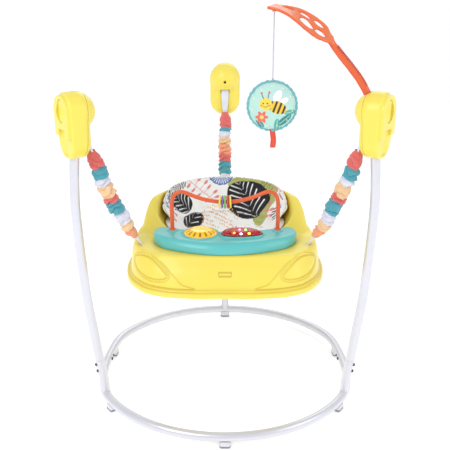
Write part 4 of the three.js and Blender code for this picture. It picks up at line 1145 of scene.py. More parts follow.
# -------------------------------------------------------------------- toy tray
lo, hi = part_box("toy_tray")
LEAFP = [(-57, -14), (-50, 14), (-30, 27), (2, 30), (30, 25), (50, 8), (58.5, -9), (38, -21), (8, -29), (-24, -29), (-47, -24)]
LIGHT = (46.0, -118.0)
SPIN = (-67.0, -110.0, 501.0)
LEAF = chaikin([(x + LIGHT[0], y + LIGHT[1]) for x, y in LEAFP], 2)


def crescent_pts():
    pts = []
    for i in range(17):
        x = 190 * (1 - i / 8) * 0.93
        pts.append((x, -92 + 387 - math.sqrt(387 * 387 - x * x)))
    pts += [(-190, -60), (-199, -84), (-196, -108)]
    for i in range(1, 22):
        x = -186 + 372 * i / 22
        pts.append((x, -196 + 62 * (abs(x) / 186) ** 2.1))
    pts += [(196, -108), (199, -84), (190, -60)]
    return chaikin(pts, 2)


CRES = crescent_pts()


def toy_field(x, y, z):
    d2 = poly2(x, y, CRES)
    top = 500.5
    # rolled front and rounded rear: the top falls away near the outline
    yy = -196 + 62 * (np.minimum(np.abs(x), 186) / 186) ** 2.1
    front = np.maximum(y - yy, 0)
    roll = 27.0
    fall = np.where(front < roll, roll - np.sqrt(np.maximum(roll**2 - (roll - front) ** 2, 0)), 0)
    f = extr(d2, z, 466.6, top, 5.0)
    f = smax(f, (z - (top - fall * 1.12)) * 0.74, 4.0)
    # bosses at the bead bar
    for sx in (-1, 1):
        f = smin(f, extr(np.hypot(x - sx * 146, y + 88) - 14.5, z, 480, 503.5, 2.5), 2.5)
    # raised rims round the spinner and the light unit, each with a shallow well
    sp = np.hypot(x - SPIN[0], y - SPIN[1])
    f = smin(f, extr(sp - 50.5, z, 480, 502.6, 1.6), 3.0)
    f = smax(f, -extr(sp - 46.2, z, 500.9, 530, 0.4), 0.5)
    lf = poly2(x, y, LEAF)
    f = smin(f, extr(lf - 5.5, z, 480, 504.2, 2.0), 3.0)
    f = smax(f, -extr(lf - 1.7, z, 500.2, 530, 0.4), 0.5)
    # relief over the seat ring
    ring = np.hypot(x / (OP_RX + 6), (y - OP_CY) / (OP_RY + 6)) - 1
    f = smax(f, -np.maximum(ring * 150, z - 484), 1.5)
    # hollow under the skin
    f = smax(f, -extr(d2 + 8, z, 440, 488, 4), 1.0)
    return f


tv, tf = nets(toy_field, (-204, -202, 462), (204, -38, 508), 2.0)
o = mesh("toy_unit", tv, tf, [TEAL], outward=False)
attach(o, "tray"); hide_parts("toy_tray")

# --------------------------------------------------------- bead bar and beads
half = [(-146, 489), (-146, 560), (-145.6, 578), (-143, 594), (-136, 606), (-125, 612), (-112, 611.5)]
arc = [(225 * math.sin(t), 808.5 - 225 * math.cos(t)) for t in np.linspace(-26 * D, 26 * D, 25)]
pts = half + arc + [(-x, z) for x, z in half[::-1]]
bar = spline([(x, -88, z) for x, z in pts], 260)
for _ in range(5):
    bar[1:-1] = 0.25 * bar[:-2] + 0.5 * bar[1:-1] + 0.25 * bar[2:]
bar[30:-30] = bar[30:-30]
v, f = merge([tube(bar, 5.5, 32)] + [lathe([(5.6, 0), (9.5, 0), (9.9, 0.8), (9.5, 3.6), (7.2, 5.2), (5.6, 5.8)], 40, centre=(sx * 146, -88, 502.0)) for sx in (-1, 1)])
o = mesh("bead_rail", v, f, [ORANGE])
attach(o, "tray"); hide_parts("bead_bar")

PITCH = 7.3
B_COL = {1: (246, 226, 84), 2: (136, 92, 172), 3: (120, 196, 98), 4: (222, 62, 66), 5: (246, 226, 84)}


def bead_profile(R, T, kind):
    h = T / 2
    if kind == "smooth":
        return [(6.2, -h * 0.75), (7.6, -h), (R - 3.0, -h), (R - 0.9, -h * 0.72), (R, -h * 0.2), (R, h * 0.2), (R - 0.9, h * 0.72), (R - 3.0, h), (7.6, h), (6.2, h * 0.75), (6.2, -h * 0.75)]
    return [(6.2, -h * 0.8), (8.5, -h * 1.05), (R * 0.55, -h * 0.75), (R - 4.0, -h * 0.95), (R - 1.4, -h * 0.7), (R, 0), (R - 1.4, h * 0.7), (R - 4.0, h * 0.95), (R * 0.55, h * 0.75), (8.5, h * 1.05), (6.2, h * 0.8), (6.2, -h * 0.8)]


for i in range(1, 6):
    lo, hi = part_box(f"bead_{i}")
    R = (hi.y - lo.y) * 500 + 0.2
    kind = {1: ("scallop", 12, 0.045), 2: ("lobed", 6, 0.055), 3: ("smooth", 0, 0), 4: ("smooth", 0, 0), 5: ("scallop", 12, 0.045)}[i]
    pr = bead_profile(R, 5.9, "smooth" if kind[1] == 0 else "rim")

    def wave(ph, j, k=kind, p=pr):
        r = np.array([a for a, _ in p])[:, None] if np.ndim(j) == 2 else 0
        rr = np.array([a for a, _ in p])[np.asarray(j)]
        w = smooth(9, R, rr)
        return 1 - k[2] * w * (1 - np.cos(k[1] * ph)) / 2 if k[1] else np.ones_like(rr * ph)

    v, f = lathe(pr, 96, "x", wave=wave)
    t = (i - 3) * PITCH / 225
    c, s = math.cos(t), math.sin(t)
    x, y, z = v.T
    # the bead's axis follows the bar
    p = np.stack([225 * math.sin(t) + x * c - z * s, -88 + y, 808.5 - 225 * math.cos(t) + x * s + z * c], 1)
    m = plastic(f"bead_{i}_moulded", B_COL[i], rough=0.3, coat=0.35)
    o = mesh(f"disc_{i}", p, f, [m])
    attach(o, "beads"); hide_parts(f"bead_{i}")

# -------------------------------------------------------------------- spinner
pr = [(0.05, 12.8), (12, 12.9), (22, 12.5), (25.5, 11.9), (28, 11.0), (31, 9.4), (36, 7.6), (39.2, 5.4), (40.2, 3.4), (42.5, 2.4), (45.2, 1.8), (45.4, 0.7), (44.6, 0.4), (41, 0.4), (38, 2.0), (35, 5.4), (29, 7.8), (25, 9.6), (12, 10.4), (0.05, 10.4)]


def flute(ph, j):
    r = np.array([a for a, _ in pr])[np.asarray(j)]
    return 1 + 0.05 * smooth(26, 31, r) * smooth(43, 38, r) * np.cos(14 * ph)


v, f = lathe(pr, 144, "z", (SPIN[0], SPIN[1], SPIN[2]), wave=flute)
fc = np.concatenate([v[g].mean(1) for g in f])
fr, fa = np.hypot(fc[:, 0] - SPIN[0], fc[:, 1] - SPIN[1]), np.arctan2(fc[:, 1] - SPIN[1], fc[:, 0] - SPIN[0])
top = (fr < 27) & (fc[:, 2] > SPIN[2] + 9.0)
# painted shade: a darker amber laid into the valleys of the fluting
AMBER_VALLEY_SHADE = clear("amber_valley_painted_shade", (190, 120, 8), 0.8, trans=0.15)
valley = (fr > 28) & (fr < 41) & (np.cos(14 * fa) < -0.55) & (fc[:, 2] > SPIN[2] + 3.0)
o = mesh("spinner_bubble", v, f, [AMBER, AMBER_TOP, AMBER_VALLEY_SHADE], mat_index=np.where(valley, 2, top.astype(int)))
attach(o, "spinner"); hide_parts("spinner_dome")
ph = np.linspace(0, 2 * math.pi, 120, endpoint=False)
rr = 12.0 + 4.2 * np.abs(np.cos(2.5 * ph)) ** 0.7
fl = []
for k, zz in ((0.0, 0.4), (0.9, 0.0), (1.0, 0.8), (1.0, 2.6), (0.9, 3.6), (0.45, 4.0), (0.3, 5.6), (0.0, 6.2)):
    fl.append(np.stack([SPIN[0] + rr * k * np.cos(ph), SPIN[1] + rr * k * np.sin(ph), np.full_like(ph, SPIN[2] + 3.0 + zz)], -1))
fl = np.array(fl)
o = mesh("spinner_bloom", fl.reshape(-1, 3), [grid_faces(8, 120, False, True)], [GREEN])
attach(o, "spinner"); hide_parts("spinner_flower")

# ----------------------------------------------------------------- light cover


def cover_field(x, y, z):
    d = poly2(x, y, LEAF)
    dome = 503.3 + 11.5 * np.sqrt(np.clip(1 - np.clip((d + 24) / 24.5, 0, 1) ** 2.2, 0, 1))
    f = extr(d + 0.6, z, 503.2, 515.2, 2.4)
    an = np.arctan2(y - LIGHT[1], (x - LIGHT[0]) * 0.55)
    f = smax(f, (z - dome) * 0.7, 1.2) + 0.45 * np.cos(30 * an) * smooth(-22, -12, d) * smooth(504.5, 506, z)
    return smax(f, -extr(d + 4.2, z, 490, 510.4, 3), 0.6)


lv, lf_ = nets(cover_field, (-16, -152, 501), (109, -84, 518), 1.5)
o = mesh("light_bubble", lv, lf_, [RED], outward=False)
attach(o, "light"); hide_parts("light_cover")
finish_node("lamp_board", BOARD)
finish_node("battery_box", WHITE_PL)
finish_node("battery_door", WHITE_PL)


def lamp(name, x, y, z, col, r=2.6, strength=2.2):
    m, nt, b = new_mat("lens_" + name)
    base = rgba(col)
    nt.links.new(mixrgb(nt, maprange(nt, noise(nt, 200, 2), 0.3, 0.7, 0, 1), base, tuple(c * 0.85 for c in base[:3]) + (1,)), b.inputs["Base Color"])
    b.inputs["Emission Color"].default_value = base
    b.inputs["Emission Strength"].default_value = strength
    b.inputs["Roughness"].default_value = 0.25
    v, f = lathe([(0.05, r * 0.9), (r * 0.6, r * 0.75), (r, 0.1), (r * 0.9, -0.8), (0.05, -0.9)], 32, "z", (x, y, z))
    o = mesh("lamp_" + name, v, f, [m])
    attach(o, "light")
    return o


# -------------------------------------------------------------- arm of the toy
ZC = [(100, 1096.5), (117, 1097), (143, 1091), (162, 1083), (187, 1069.5), (214, 1053.5), (233, 1043), (246, 1035), (262, 1020)]
DZ = [(100, 2), (117, 8), (143, 16), (162, 26), (187, 39), (214, 45), (233, 40), (246, 34), (262, 16)]
HWT = [(100, 3), (106, 11), (120, 19), (140, 26), (165, 30), (200, 31), (225, 29), (240, 23), (252, 15), (262, 8)]
xs = [100, 104, 108, 114, 120, 130, 140, 152, 165, 182, 200, 213, 225, 233, 240, 246, 252, 258, 262]
edge = [(x, -float(tab(HWT, x))) for x in xs] + [(x, float(tab(HWT, x))) for x in xs[::-1]]
HOLES = [
    [(178, -11), (184, 3), (194, 5), (204, -4), (207, -12), (196, -17), (186, -16)],
    [(214, -12), (220, -4), (230, -4), (239, -11), (230, -18), (220, -18)],
    [(137, 12), (150, 20), (166, 15), (160, 10), (146, 8)],
    [(176, 17), (190, 24), (206, 16), (198, 11), (184, 12)],
    [(213, 15), (224, 22), (238, 12), (230, 7), (220, 8)],
]
HOLES = [chaikin((np.array(h, float) - np.mean(h, 0)) * np.array([1.26, 1.3]) + np.mean(h, 0), 2) for h in HOLES]
STEM = [(246, 1025), (264, 1003), (281, 983), (304, 957), (327, 929), (343, 905), (353, 888), (355, 880), (355, 874)]
SRAD = [6.5, 8.5, 9.3, 9.5, 9.5, 9.5, 9.5, 9.5, 9.5]


def arm_field(x, v, z):
    zt = tab(ZC, np.clip(x, 100, 262)) + (v / np.maximum(tab(HWT, np.clip(x, 100, 262)), 3)) * tab(DZ, np.clip(x, 100, 262)) / 2
    d2 = poly2(x, v, edge)
    for h in HOLES:
        d2 = smax(d2, -poly2(x, v, h), 1.2)
    plate = extr(d2, z - zt, -7, 0, 2.0) * 0.72
    f = plate
    st = 1e9
    for (a, b, ra, rb) in zip(STEM[:-1], STEM[1:], SRAD[:-1], SRAD[1:]):
        st = np.minimum(st, capsule(x, v, z, (a[0], 0, a[1]), (b[0], 0, b[1]), ra, rb))
    st = smax(st, 874.2 - z, 0.5)
    f = smin(f, st, 5)
    f = smin(f, extr(np.hypot(x - 117, v) - 5.2, z, 1084.2, 1093, 1.0), 2)
    return f


av, af = nets(arm_field, (96, -36, 870), (370, 36, 1122), 1.8)
nrm = av.copy()
amid = av[af[0]].mean(1)
# painted light: the leaf's upper faces take a lighter copy of the orange, as if lit from above
zt = tab(ZC, np.clip(amid[:, 0], 100, 262)) + (amid[:, 1] / np.maximum(tab(HWT, np.clip(amid[:, 0], 100, 262)), 3)) * tab(DZ, np.clip(amid[:, 0], 100, 262)) / 2
lit_top_faces = (amid[:, 0] < 262) & (amid[:, 2] > zt - 1.6)
# ribs along the stem's upper side
st = spline([(x, 0, z) for x, z in STEM[1:6]], 27)
ribs = []
t_, a_, b_ = frames(st)
for i in range(1, 26):
    p = st[i]
    up = np.array([-t_[i][2], 0, t_[i][0]])
    if up[0] < 0:
        up = -up
    across = np.array([0, 1.0, 0])
    angs = np.linspace(-1.0, 1.0, 11)
    line = np.array([p + (up * math.cos(q) + across * math.sin(q)) * 9.5 for q in angs])
    ribs.append(tube(line, 1.3, 10, round_ends=0.9))
rv, rf = merge(ribs)
nfa = len(af[0])
v, f = merge([(av, af), (rv, rf)])
nf = sum(len(g) for g in f)
mi = np.zeros(nf, int)
mi[:nfa] = lit_top_faces.astype(int)
# painted shade: the ribs take a darker copy of the orange
mi[nfa:] = 2
v = v + np.array([0, ARM_Y, 0])
# darker copy of the orange: painted shade on the ribs
ORANGE_RIB_SHADE = plastic("orange_rib_painted_shade", (186, 62, 22), rough=0.4, coat=0.1)
# lighter copy of the orange: painted light on the leaf's upper faces
ORANGE_LIT_TOP = plastic("orange_painted_top_light", (238, 116, 58), rough=0.36, coat=0.25)
o = mesh("toy_hanger", v, f, [ORANGE, ORANGE_LIT_TOP, ORANGE_RIB_SHADE], mat_index=mi)
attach(o, "arm"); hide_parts("toy_arm")

# ============================================================= cloth and prints


def upsample(P, nu, nv, cu=False, cv=False):
    """Catmull-Rom surface through a coarse grid of points."""
    P = np.asarray(P, float)

    def one(P, n, closed):
        m = len(P)
        t = np.arange(n) * (m / n) if closed else np.linspace(0, m - 1, n)
        i = np.minimum(np.floor(t).astype(int), m - 1 if closed else m - 2)
        f = (t - i).reshape((-1,) + (1,) * (P.ndim - 1))
        idx = lambda k: (i + k) % m if closed else np.clip(i + k, 0, m - 1)
        p0, p1, p2, p3 = P[idx(-1)], P[idx(0)], P[idx(1)], P[idx(2)]
        return 0.5 * (2 * p1 + (p2 - p0) * f + (2 * p0 - 5 * p1 + 4 * p2 - p3) * f**2 + (3 * p1 - p0 - 3 * p2 + p3) * f**3)

    P = one(P, nu, cu)
    return np.swapaxes(one(np.swapaxes(P, 0, 1), nv, cv), 0, 1)


def drape(name, V, faces, pin, frames=24, pressure=0.0, shrink=0.0, gravity=0.0, stiff=15.0, bend=0.5, mass=0.15, colliders=()):
    """A real cloth run on a coarse mesh; returns where its points come to rest."""
    o = mesh(name, V, faces, [], outward=True)
    g = o.vertex_groups.new(name="pin")
    for i, w in enumerate(pin):
        if w > 0:
            g.add([i], float(w), "REPLACE")
    m = o.modifiers.new("cloth", "CLOTH")
    s = m.settings
    s.quality = 7
    s.mass = mass
    s.tension_stiffness = stiff
    s.compression_stiffness = stiff
    s.shear_stiffness = stiff * 0.5
    s.bending_stiffness = bend
    s.air_damping = 2.0
    s.vertex_group_mass = "pin"
    s.pin_stiffness = 1.0
    s.shrink_min = -shrink
    s.effector_weights.gravity = gravity
    if pressure:
        s.use_pressure = True
        s.uniform_pressure_force = pressure
    m.collision_settings.use_self_collision = False
    m.collision_settings.use_collision = bool(colliders)
    m.point_cache.frame_start, m.point_cache.frame_end = 1, frames
    sc = bpy.context.scene
    for f in range(1, frames + 1):
        sc.frame_set(f)
    dg = bpy.context.evaluated_depsgraph_get()
    ev = o.evaluated_get(dg)
    n = len(o.data.vertices)
    co = np.zeros(n * 3)
    ev.data.vertices.foreach_get("co", co)
    co = co.reshape(-1, 3) * 1000
    co[:, 1] -= SY
    sc.frame_set(1)
    me = o.data
    bpy.data.objects.remove(o)
    bpy.data.meshes.remove(me)
    if not np.isfinite(co).all() or np.abs(co - np.asarray(V)).max() > 60:
        print("cloth", name, "did not settle; its made-up shape is kept")
        return np.asarray(V, float)
    return co


def over(col, mask, c):
    """Lay colour c over col where mask is 1."""
    m = np.clip(mask, 0, 1)[:, None]
    return col * (1 - m) + np.array(lin(c)) * m


def cover(d, soft=1.0):
    return np.clip(0.5 - d / soft, 0, 1)


WHITE_F = (255, 255, 253)
BLACK_F = (36, 36, 40)
CORAL = (228, 110, 105)
TEALF = (80, 165, 180)
LAV = (226, 226, 240)
TAN = (245, 205, 160)
PEACH = (245, 165, 125)
K = 2.75  # mm to a degree round the seat


def wedge(px, py, a, b, ra, rb):
    """Distance to a flat wedge from a to b with end radii ra and rb."""
    ex, ey = b[0] - a[0], b[1] - a[1]
    t = np.clip(((px - a[0]) * ex + (py - a[1]) * ey) / max(ex * ex + ey * ey, 1e-9), 0, 1)
    return np.hypot(px - a[0] - ex * t, py - a[1] - ey * t) - (ra + (rb - ra) * t**0.8)


def leaf_print(col, s, z, outline, vein_from, vein_to, n=5, c=BLACK_F, vein=(255, 255, 253), fat=1.0):
    """A broad dark leaf; pale wedges widen from its midrib to its edge."""
    pts = chaikin([(a * K, b) for a, b in outline], 2)
    d = poly2(s, z, pts)
    col = over(col, cover(d), c)
    a, b = np.array([vein_from[0] * K, vein_from[1]]), np.array([vein_to[0] * K, vein_to[1]])
    e = b - a
    nn = np.array([-e[1], e[0]])
    nn = nn / np.linalg.norm(nn)
    L = np.linalg.norm(e)
    v = np.full(s.shape, 99.0)
    for i in range(n):
        t = (i + 0.55) / (n + 0.25)
        p = a + e * t
        for sgn in (-1, 1):
            dr = e / L * (0.62 + 0.25 * t) + nn * sgn * (0.86 - 0.35 * t)
            dr = dr / np.linalg.norm(dr)
            q = p + dr * L * 0.47 * (1 - 0.55 * t**2)
            p1 = p + dr * (2.6 * fat)
            v = np.minimum(v, wedge(s, z, p1, q, 0.35 * fat, 2.5 * fat * (1 - 0.35 * t)))
    return over(col, cover(np.maximum(v, d + 1.9 * fat)), vein)


def stripe_print(col, s, z, outline, ang, pitch=6.5, c=BLACK_F):
    pts = chaikin([(a * K, b) for a, b in outline], 2)
    d = poly2(s, z, pts)
    cs, cz = pts.mean(0)
    u = (s - cs) * math.cos(ang) + (z - cz) * math.sin(ang)
    w = -(s - cs) * math.sin(ang) + (z - cz) * math.cos(ang)
    st = np.abs(((u + 0.012 * w**2 + 0.8 * np.sin(w * 0.35)) / pitch) % 1 - 0.5) * pitch - pitch * 0.27
    return over(col, cover(np.maximum(d, -st + 0.0)), c)


def sprig_print(col, s, z, stem, leaves, c=CORAL, size=(6.4, 3.0)):
    pts = spline([(a * K, b) for a, b in stem], 40)
    d = line2(s, z, pts) - 0.9
    for a, b in leaves:
        px, pz = a * K, b
        i = int(np.argmin(np.hypot(pts[:, 0] - px, pts[:, 1] - pz)))
        dx, dz = px - pts[i, 0], pz - pts[i, 1]
        L = max(math.hypot(dx, dz), 1e-3)
        ux, uz = dx / L, dz / L
        x1 = (s - px) * ux + (z - pz) * uz
        y1 = -(s - px) * uz + (z - pz) * ux
        e = (np.hypot(x1 / size[0], y1 / size[1]) - 1) * size[1]
        d = np.minimum(d, e)
        d = np.minimum(d, line2(s, z, [(pts[i, 0], pts[i, 1]), (px, pz)]) - 0.8)
    return over(col, cover(d), c)


def seat_print(deg, z):
    """The colours of the seat's cloth at an angle from the rear centre and a height."""
    deg, z = deg.ravel(), z.ravel()
    s = deg * K
    col = np.tile(np.array(lin(WHITE_F)), (len(s), 1))
    # olive ground patches
    ol = poly2(s, z, chaikin([(a * K, b) for a, b in [(2, 551), (6, 568), (14, 577), (26, 577), (44, 582), (61, 580), (66, 556), (61, 520), (59, 491), (53, 462), (43, 423), (31, 432), (30, 500), (16, 560), (6, 545)]], 2))
    col = over(col, cover(ol), (186, 190, 110))
    blot = np.sin(s * 0.61 + 2.0 * np.sin(z * 0.17)) * np.sin(z * 0.55 + 1.7 * np.sin(s * 0.21))
    col = over(col, cover(np.maximum(0.55 - blot, np.maximum(ol + 3, np.hypot((s - 47 * K) / 1.0, (z - 553) / 1.1) - 26)) * 2.0), (62, 66, 44))
    # blue half flower with pale rays on the top edge
    a0 = np.hypot(s - (-4 * K), (z - 584))
    th = np.arctan2(z - 584, s + 4 * K)
    col = over(col, cover(a0 - (33 + 2.2 * np.abs(np.sin(th * 6.5)))), (96, 124, 190))
    ray = np.abs(((th * 13 / math.pi) % 1) - 0.5) * a0 * math.pi / 13
    col = over(col, cover(np.maximum(ray - 0.35 - 0.035 * a0, np.abs(a0 - 20) - 10)), (246, 249, 252))
    # sprigs with broad coral leaflets
    PINK = (234, 140, 140)
    big = (8.6, 4.0)
    col = sprig_print(col, s, z, [(-40, 576), (-33, 556), (-26, 536), (-19, 518), (-14, 505)], [(-40, 556), (-27, 572), (-20, 560), (-35, 540), (-17, 545), (-29, 521), (-10, 528), (-20, 503), (-8, 512)], c=PINK, size=big)
    col = sprig_print(col, s, z, [(71, 566), (68, 548), (64, 530)], [(63, 560), (76, 556), (61, 545), (74, 541)], c=PINK, size=(7.6, 3.6))
    col = sprig_print(col, s, z, [(64, 462), (61, 482), (58, 498)], [(57, 470), (66, 478), (54, 486), (64, 496), (55, 506)], c=PINK, size=(9.5, 5.0))
    col = sprig_print(col, s, z, [(-90, 466), (-85, 484), (-78, 500)], [(-80, 472), (-92, 486), (-74, 486), (-87, 503), (-73, 505)], c=PINK, size=(9.0, 4.4))
    # black leaves with pale wedges
    col = leaf_print(col, s, z, [(2, 527), (4, 551), (14, 562), (29, 566), (42, 559), (51, 538), (53, 511), (48, 483), (38, 453), (24, 440), (13, 446), (5, 466), (2, 493)], (38, 446), (13, 562), 7)
    col = leaf_print(col, s, z, [(-70, 520), (-64, 541), (-50, 541), (-41, 528), (-37, 506), (-40, 484), (-50, 472), (-63, 484)], (-43, 474), (-62, 542), 6, fat=0.8)
    col = leaf_print(col, s, z, [(-53, 462), (-44, 472), (-31, 470), (-22, 452), (-26, 425), (-36, 412), (-47, 424), (-55, 442)], (-50, 418), (-30, 470), 4, fat=0.8)
    # striped leaves
    col = stripe_print(col, s, z, [(-66, 576), (-44, 582), (-42, 553), (-54, 545), (-72, 528), (-80, 546)], -0.5, 8.5)
    col = stripe_print(col, s, z, [(67, 516), (75, 522), (83, 505), (82, 474), (74, 462), (67, 478)], -0.7, 9.0)
    # scattered tan dots
    jit = np.random.default_rng(7).uniform(-1, 1, (92, 2))
    for i in range(92):
        a, b = -27 + 41 * ((i * 0.618034) % 1.0) + 0.7 * jit[i, 0], 408 + 82 * ((i * 0.754878) % 1.0) + 2.2 * jit[i, 1]
        if b > 486 - 0.05 * (a + 8) ** 2:
            continue
        col = over(col, cover(np.hypot((s - a * K) / 1.0, (z - b) / 1.6) - (1.45 + 0.5 * ((i * 0.37) % 1.0))), (236, 176, 120))
    # navy dashes on both wings
    for i in range(62):
        u, w_, an = (i * 0.618034) % 1.0, (i * 0.754878 + 0.2) % 1.0, 0.3 + 0.9 * ((i * 0.41) % 1.0)
        for a, b in ((-86 + 24 * u, 486 + 54 * w_), (54 + 26 * u, 526 + 44 * w_)):
            if i % 2 and a > 0:
                continue
            dx, dz = 2.5 * math.cos(an), 2.5 * math.sin(an)
            m_ = cover(line2(s, z, [(a * K - dx, b - dz), (a * K + dx, b + dz)]) - 1.4)
            m_ = m_ * (col.min(axis=1) > 0.8)
            col = over(col, m_, (52, 72, 140))
    return col


# ------------------------------------------------------------------- seat ring
ph = np.linspace(0, 2 * math.pi, 220, endpoint=False)
sec = [(4.0, 476.6), (4.4, 478.2), (4.0, 480.0), (2.0, 480.6), (-10.0, 480.6), (-11.8, 480.0), (-12.2, 478.2), (-11.8, 476.6)]
rg = []
for g, z in sec:
    rg.append(np.stack([(OP_RX + g) * np.cos(ph), OP_CY + (OP_RY + g) * np.sin(ph), np.full_like(ph, z)], -1))
rg = np.array(rg)
o = mesh("seat_hoop", rg.reshape(-1, 3), [grid_faces(len(sec), 220, True, True)], [WHITE_PL])
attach(o, "tray"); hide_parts("seat_ring")

# ---------------------------------------------------------------- seat back pad
PRX, PRY = 179.5, 138.5
NA, NS = (96, 30)
SPAN = 98.0


def pad_top(a):
    return pchip([0, 45, 65, 80, 90, 99], [572, 568, 560, 541, 518, 500], np.abs(a))


ang = np.linspace(-SPAN, SPAN, NA)
# section: up the inside, over the top, down the outside
ui = np.linspace(0, 1, 15)
inside = [(-1.0, t) for t in ui]
over_top = [(-0.6, 1.02), (0.0, 1.04), (0.6, 1.02)]
outside = [(1.0, t) for t in ui[::-1][: NS - 18]]
outside = [(1.0, t) for t in np.linspace(1, 0, 12)]
sec = inside + over_top + outside
NS = len(sec)
grid = np.zeros((NA, NS, 3))
for i, a in enumerate(ang):
    top, bot = float(pad_top(a)), 467.5
    endp = 1 - 0.75 * float(smooth(88, 98, abs(a)))
    for j, (w, t) in enumerate(sec):
        T = 7.2 * endp * (0.55 + 0.45 * math.sin(math.pi * min(max(t, 0.02), 0.98)) ** 0.6)
        th = a * D
        zc_ = bot + (top - bot) * min(t, 1.0)
        # under the ring's height the pad stands inside the opening
        m_ = float(smooth(524, 472, zc_))
        T2 = T * (1 - 0.45 * m_)
        rx = (PRX + w * T) * (1 - m_) + (151.5 + w * T2) * m_
        ry = (PRY + w * T) * (1 - m_) + (129.5 + w * T2) * m_
        grid[i, j] = (rx * math.sin(th), OP_CY + ry * math.cos(th), zc_ + (2.0 if t > 1 else 0) * endp)
V0 = grid.reshape(-1, 3)
F0 = [grid_faces(NA, NS, False, True), np.arange(NS)[None, ::-1], ((NA - 1) * NS + np.arange(NS))[None]]
pin = np.zeros((NA, NS))
for j, (w, t) in enumerate(sec):
    if t <= 0.001:
        pin[:, j] = 1
    elif t >= 1.0:
        pin[:, j] = 0.55
pin[0], pin[-1] = 1, 1
pin[::16, :] = np.maximum(pin[::16, :], 0.35)  # quilting lines hold the faces in
sim = drape("pad_cloth", V0, F0, pin.ravel(), frames=26, pressure=3.0, shrink=0.035, stiff=12, bend=0.15)
dv = np.clip(sim - V0, -5, 5)
FA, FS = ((420, 132))
fine = upsample((V0 + dv).reshape(NA, NS, 3), FA, FS, False, True)
orig = upsample(grid, FA, FS, False, True)
V = fine.reshape(-1, 3)
deg = np.degrees(np.arctan2(orig[..., 0] / PRX, (orig[..., 1] - OP_CY) / PRY)).ravel()
colr = seat_print(deg, V[:, 2])
FI = [grid_faces(FA, FS, False, True), np.arange(FS)[None, ::-1], ((FA - 1) * FS + np.arange(FS))[None]]
uv = np.stack([deg * K / 1000, V[:, 2] / 1000], 1)
PRINT = fabric("seat_print_cloth", paint=True, rough=0.8, sheen=0.25, wrinkle=0.35, var=0.975)
pad = mesh("back_pad", V, FI, [PRINT], uv=uv, color=colr)
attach(pad, "tray"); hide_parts("seat_back_pad")
# piping along the top edge
pj = int(round(FS * (15.0 + 1) / NS))
edge_line = fine[:, pj].copy()
edge_line[:, 2] += 0.8
v, f = tube(edge_line, 1.9, 12, round_ends=1.5)
o = mesh("pad_piping", v, f, [fabric("piping_cloth", (236, 236, 232), uv=False)])
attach(o, "tray")

# ----------------------------------------------------------------------- sling
SL = [(0, 262), (70, 264), (112, 282), (138, 330), (150, 400), (157, 475.8)]
sl_fine = spline([(-r, z) for r, z in SL[:0:-1]] + list(SL), 200)
sl_half = np.array([p for p in sl_fine if p[0] >= -0.5])
sl_half[0] = (0, sl_half[0][1])


def sling_field(x, y, z):
    yy = (y - OP_CY) * 157 / 136
    r = np.hypot(x, yy)
    th = np.arctan2(yy, x)
    # soft folds that run up from the leg holes and across the seat
    fold = 1.3 * np.sin(9 * th + 0.02 * z) * smooth(275, 330, z) * smooth(470, 430, z) + 0.9 * np.sin(17 * th + 1.3) * smooth(300, 350, z) * smooth(470, 400, z)
    zz = np.interp(r, *zip(*[(a, b) for a, b in sl_half]))  # height of the bowl below r
    d = line2(r + fold, z, sl_half[::4]) - 1.7
    d = np.maximum(d, z - 475.6)
    for sx in (-1, 1):
        # the hole's axis points forward, down and outward
        a = HOLE_AXIS[sx]
        px, py, pz = x - sx * 62, y - (OP_CY - 104), z - 322
        t = px * a[0] + py * a[1] + pz * a[2]
        dist = np.sqrt(np.maximum(px**2 + py**2 + pz**2 - t**2, 0)) - 47
        d = smax(d, -dist, 1.0)
    return d


# the leg holes' axes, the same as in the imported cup: a cylinder along Y turned about X, then Z
def hole_axis(sx):
    rx_, rz_ = 68 * D, sx * 16 * D
    v = Vector((0, 0, 1))
    v = Matrix.Rotation(rx_, 3, "X") @ v
    v = Matrix.Rotation(rz_, 3, "Z") @ v
    return (v.x, v.y, v.z)


HOLE_AXIS = {s: hole_axis(s) for s in (-1, 1)}
sv, sf = nets(sling_field, (-166, -92, 255), (166, 200, 479), 2.4)
deg = np.degrees(np.arctan2(sv[:, 0] / 166, (sv[:, 1] - OP_CY) / 128))
rr = np.hypot(sv[:, 0], (sv[:, 1] - OP_CY) * 157 / 136)
colr = seat_print(deg, sv[:, 2])
plain = np.tile(np.array(lin(WHITE_F)), (len(sv), 1))
k = (smooth(396, 404, sv[:, 2]) * (np.abs(deg) < 100))[:, None]
colr = plain * (1 - k) + colr * k
uv = np.stack([deg * K / 1000, sv[:, 2] / 1000], 1)
SLING_CLOTH = fabric("sling_cloth", paint=True, rough=0.82, sheen=0.25, wrinkle=0.6, var=0.94)
sling = mesh("seat_cup", sv, sf, [SLING_CLOTH], uv=uv, color=colr, outward=False)
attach(sling, "tray"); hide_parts("seat_sling")

# --------------------------------------------------------------------- webbing
WEB = fabric("webbing", (227, 230, 243), rough=0.75, sheen=0.2, pitch=0.0016, wrinkle=0.2)


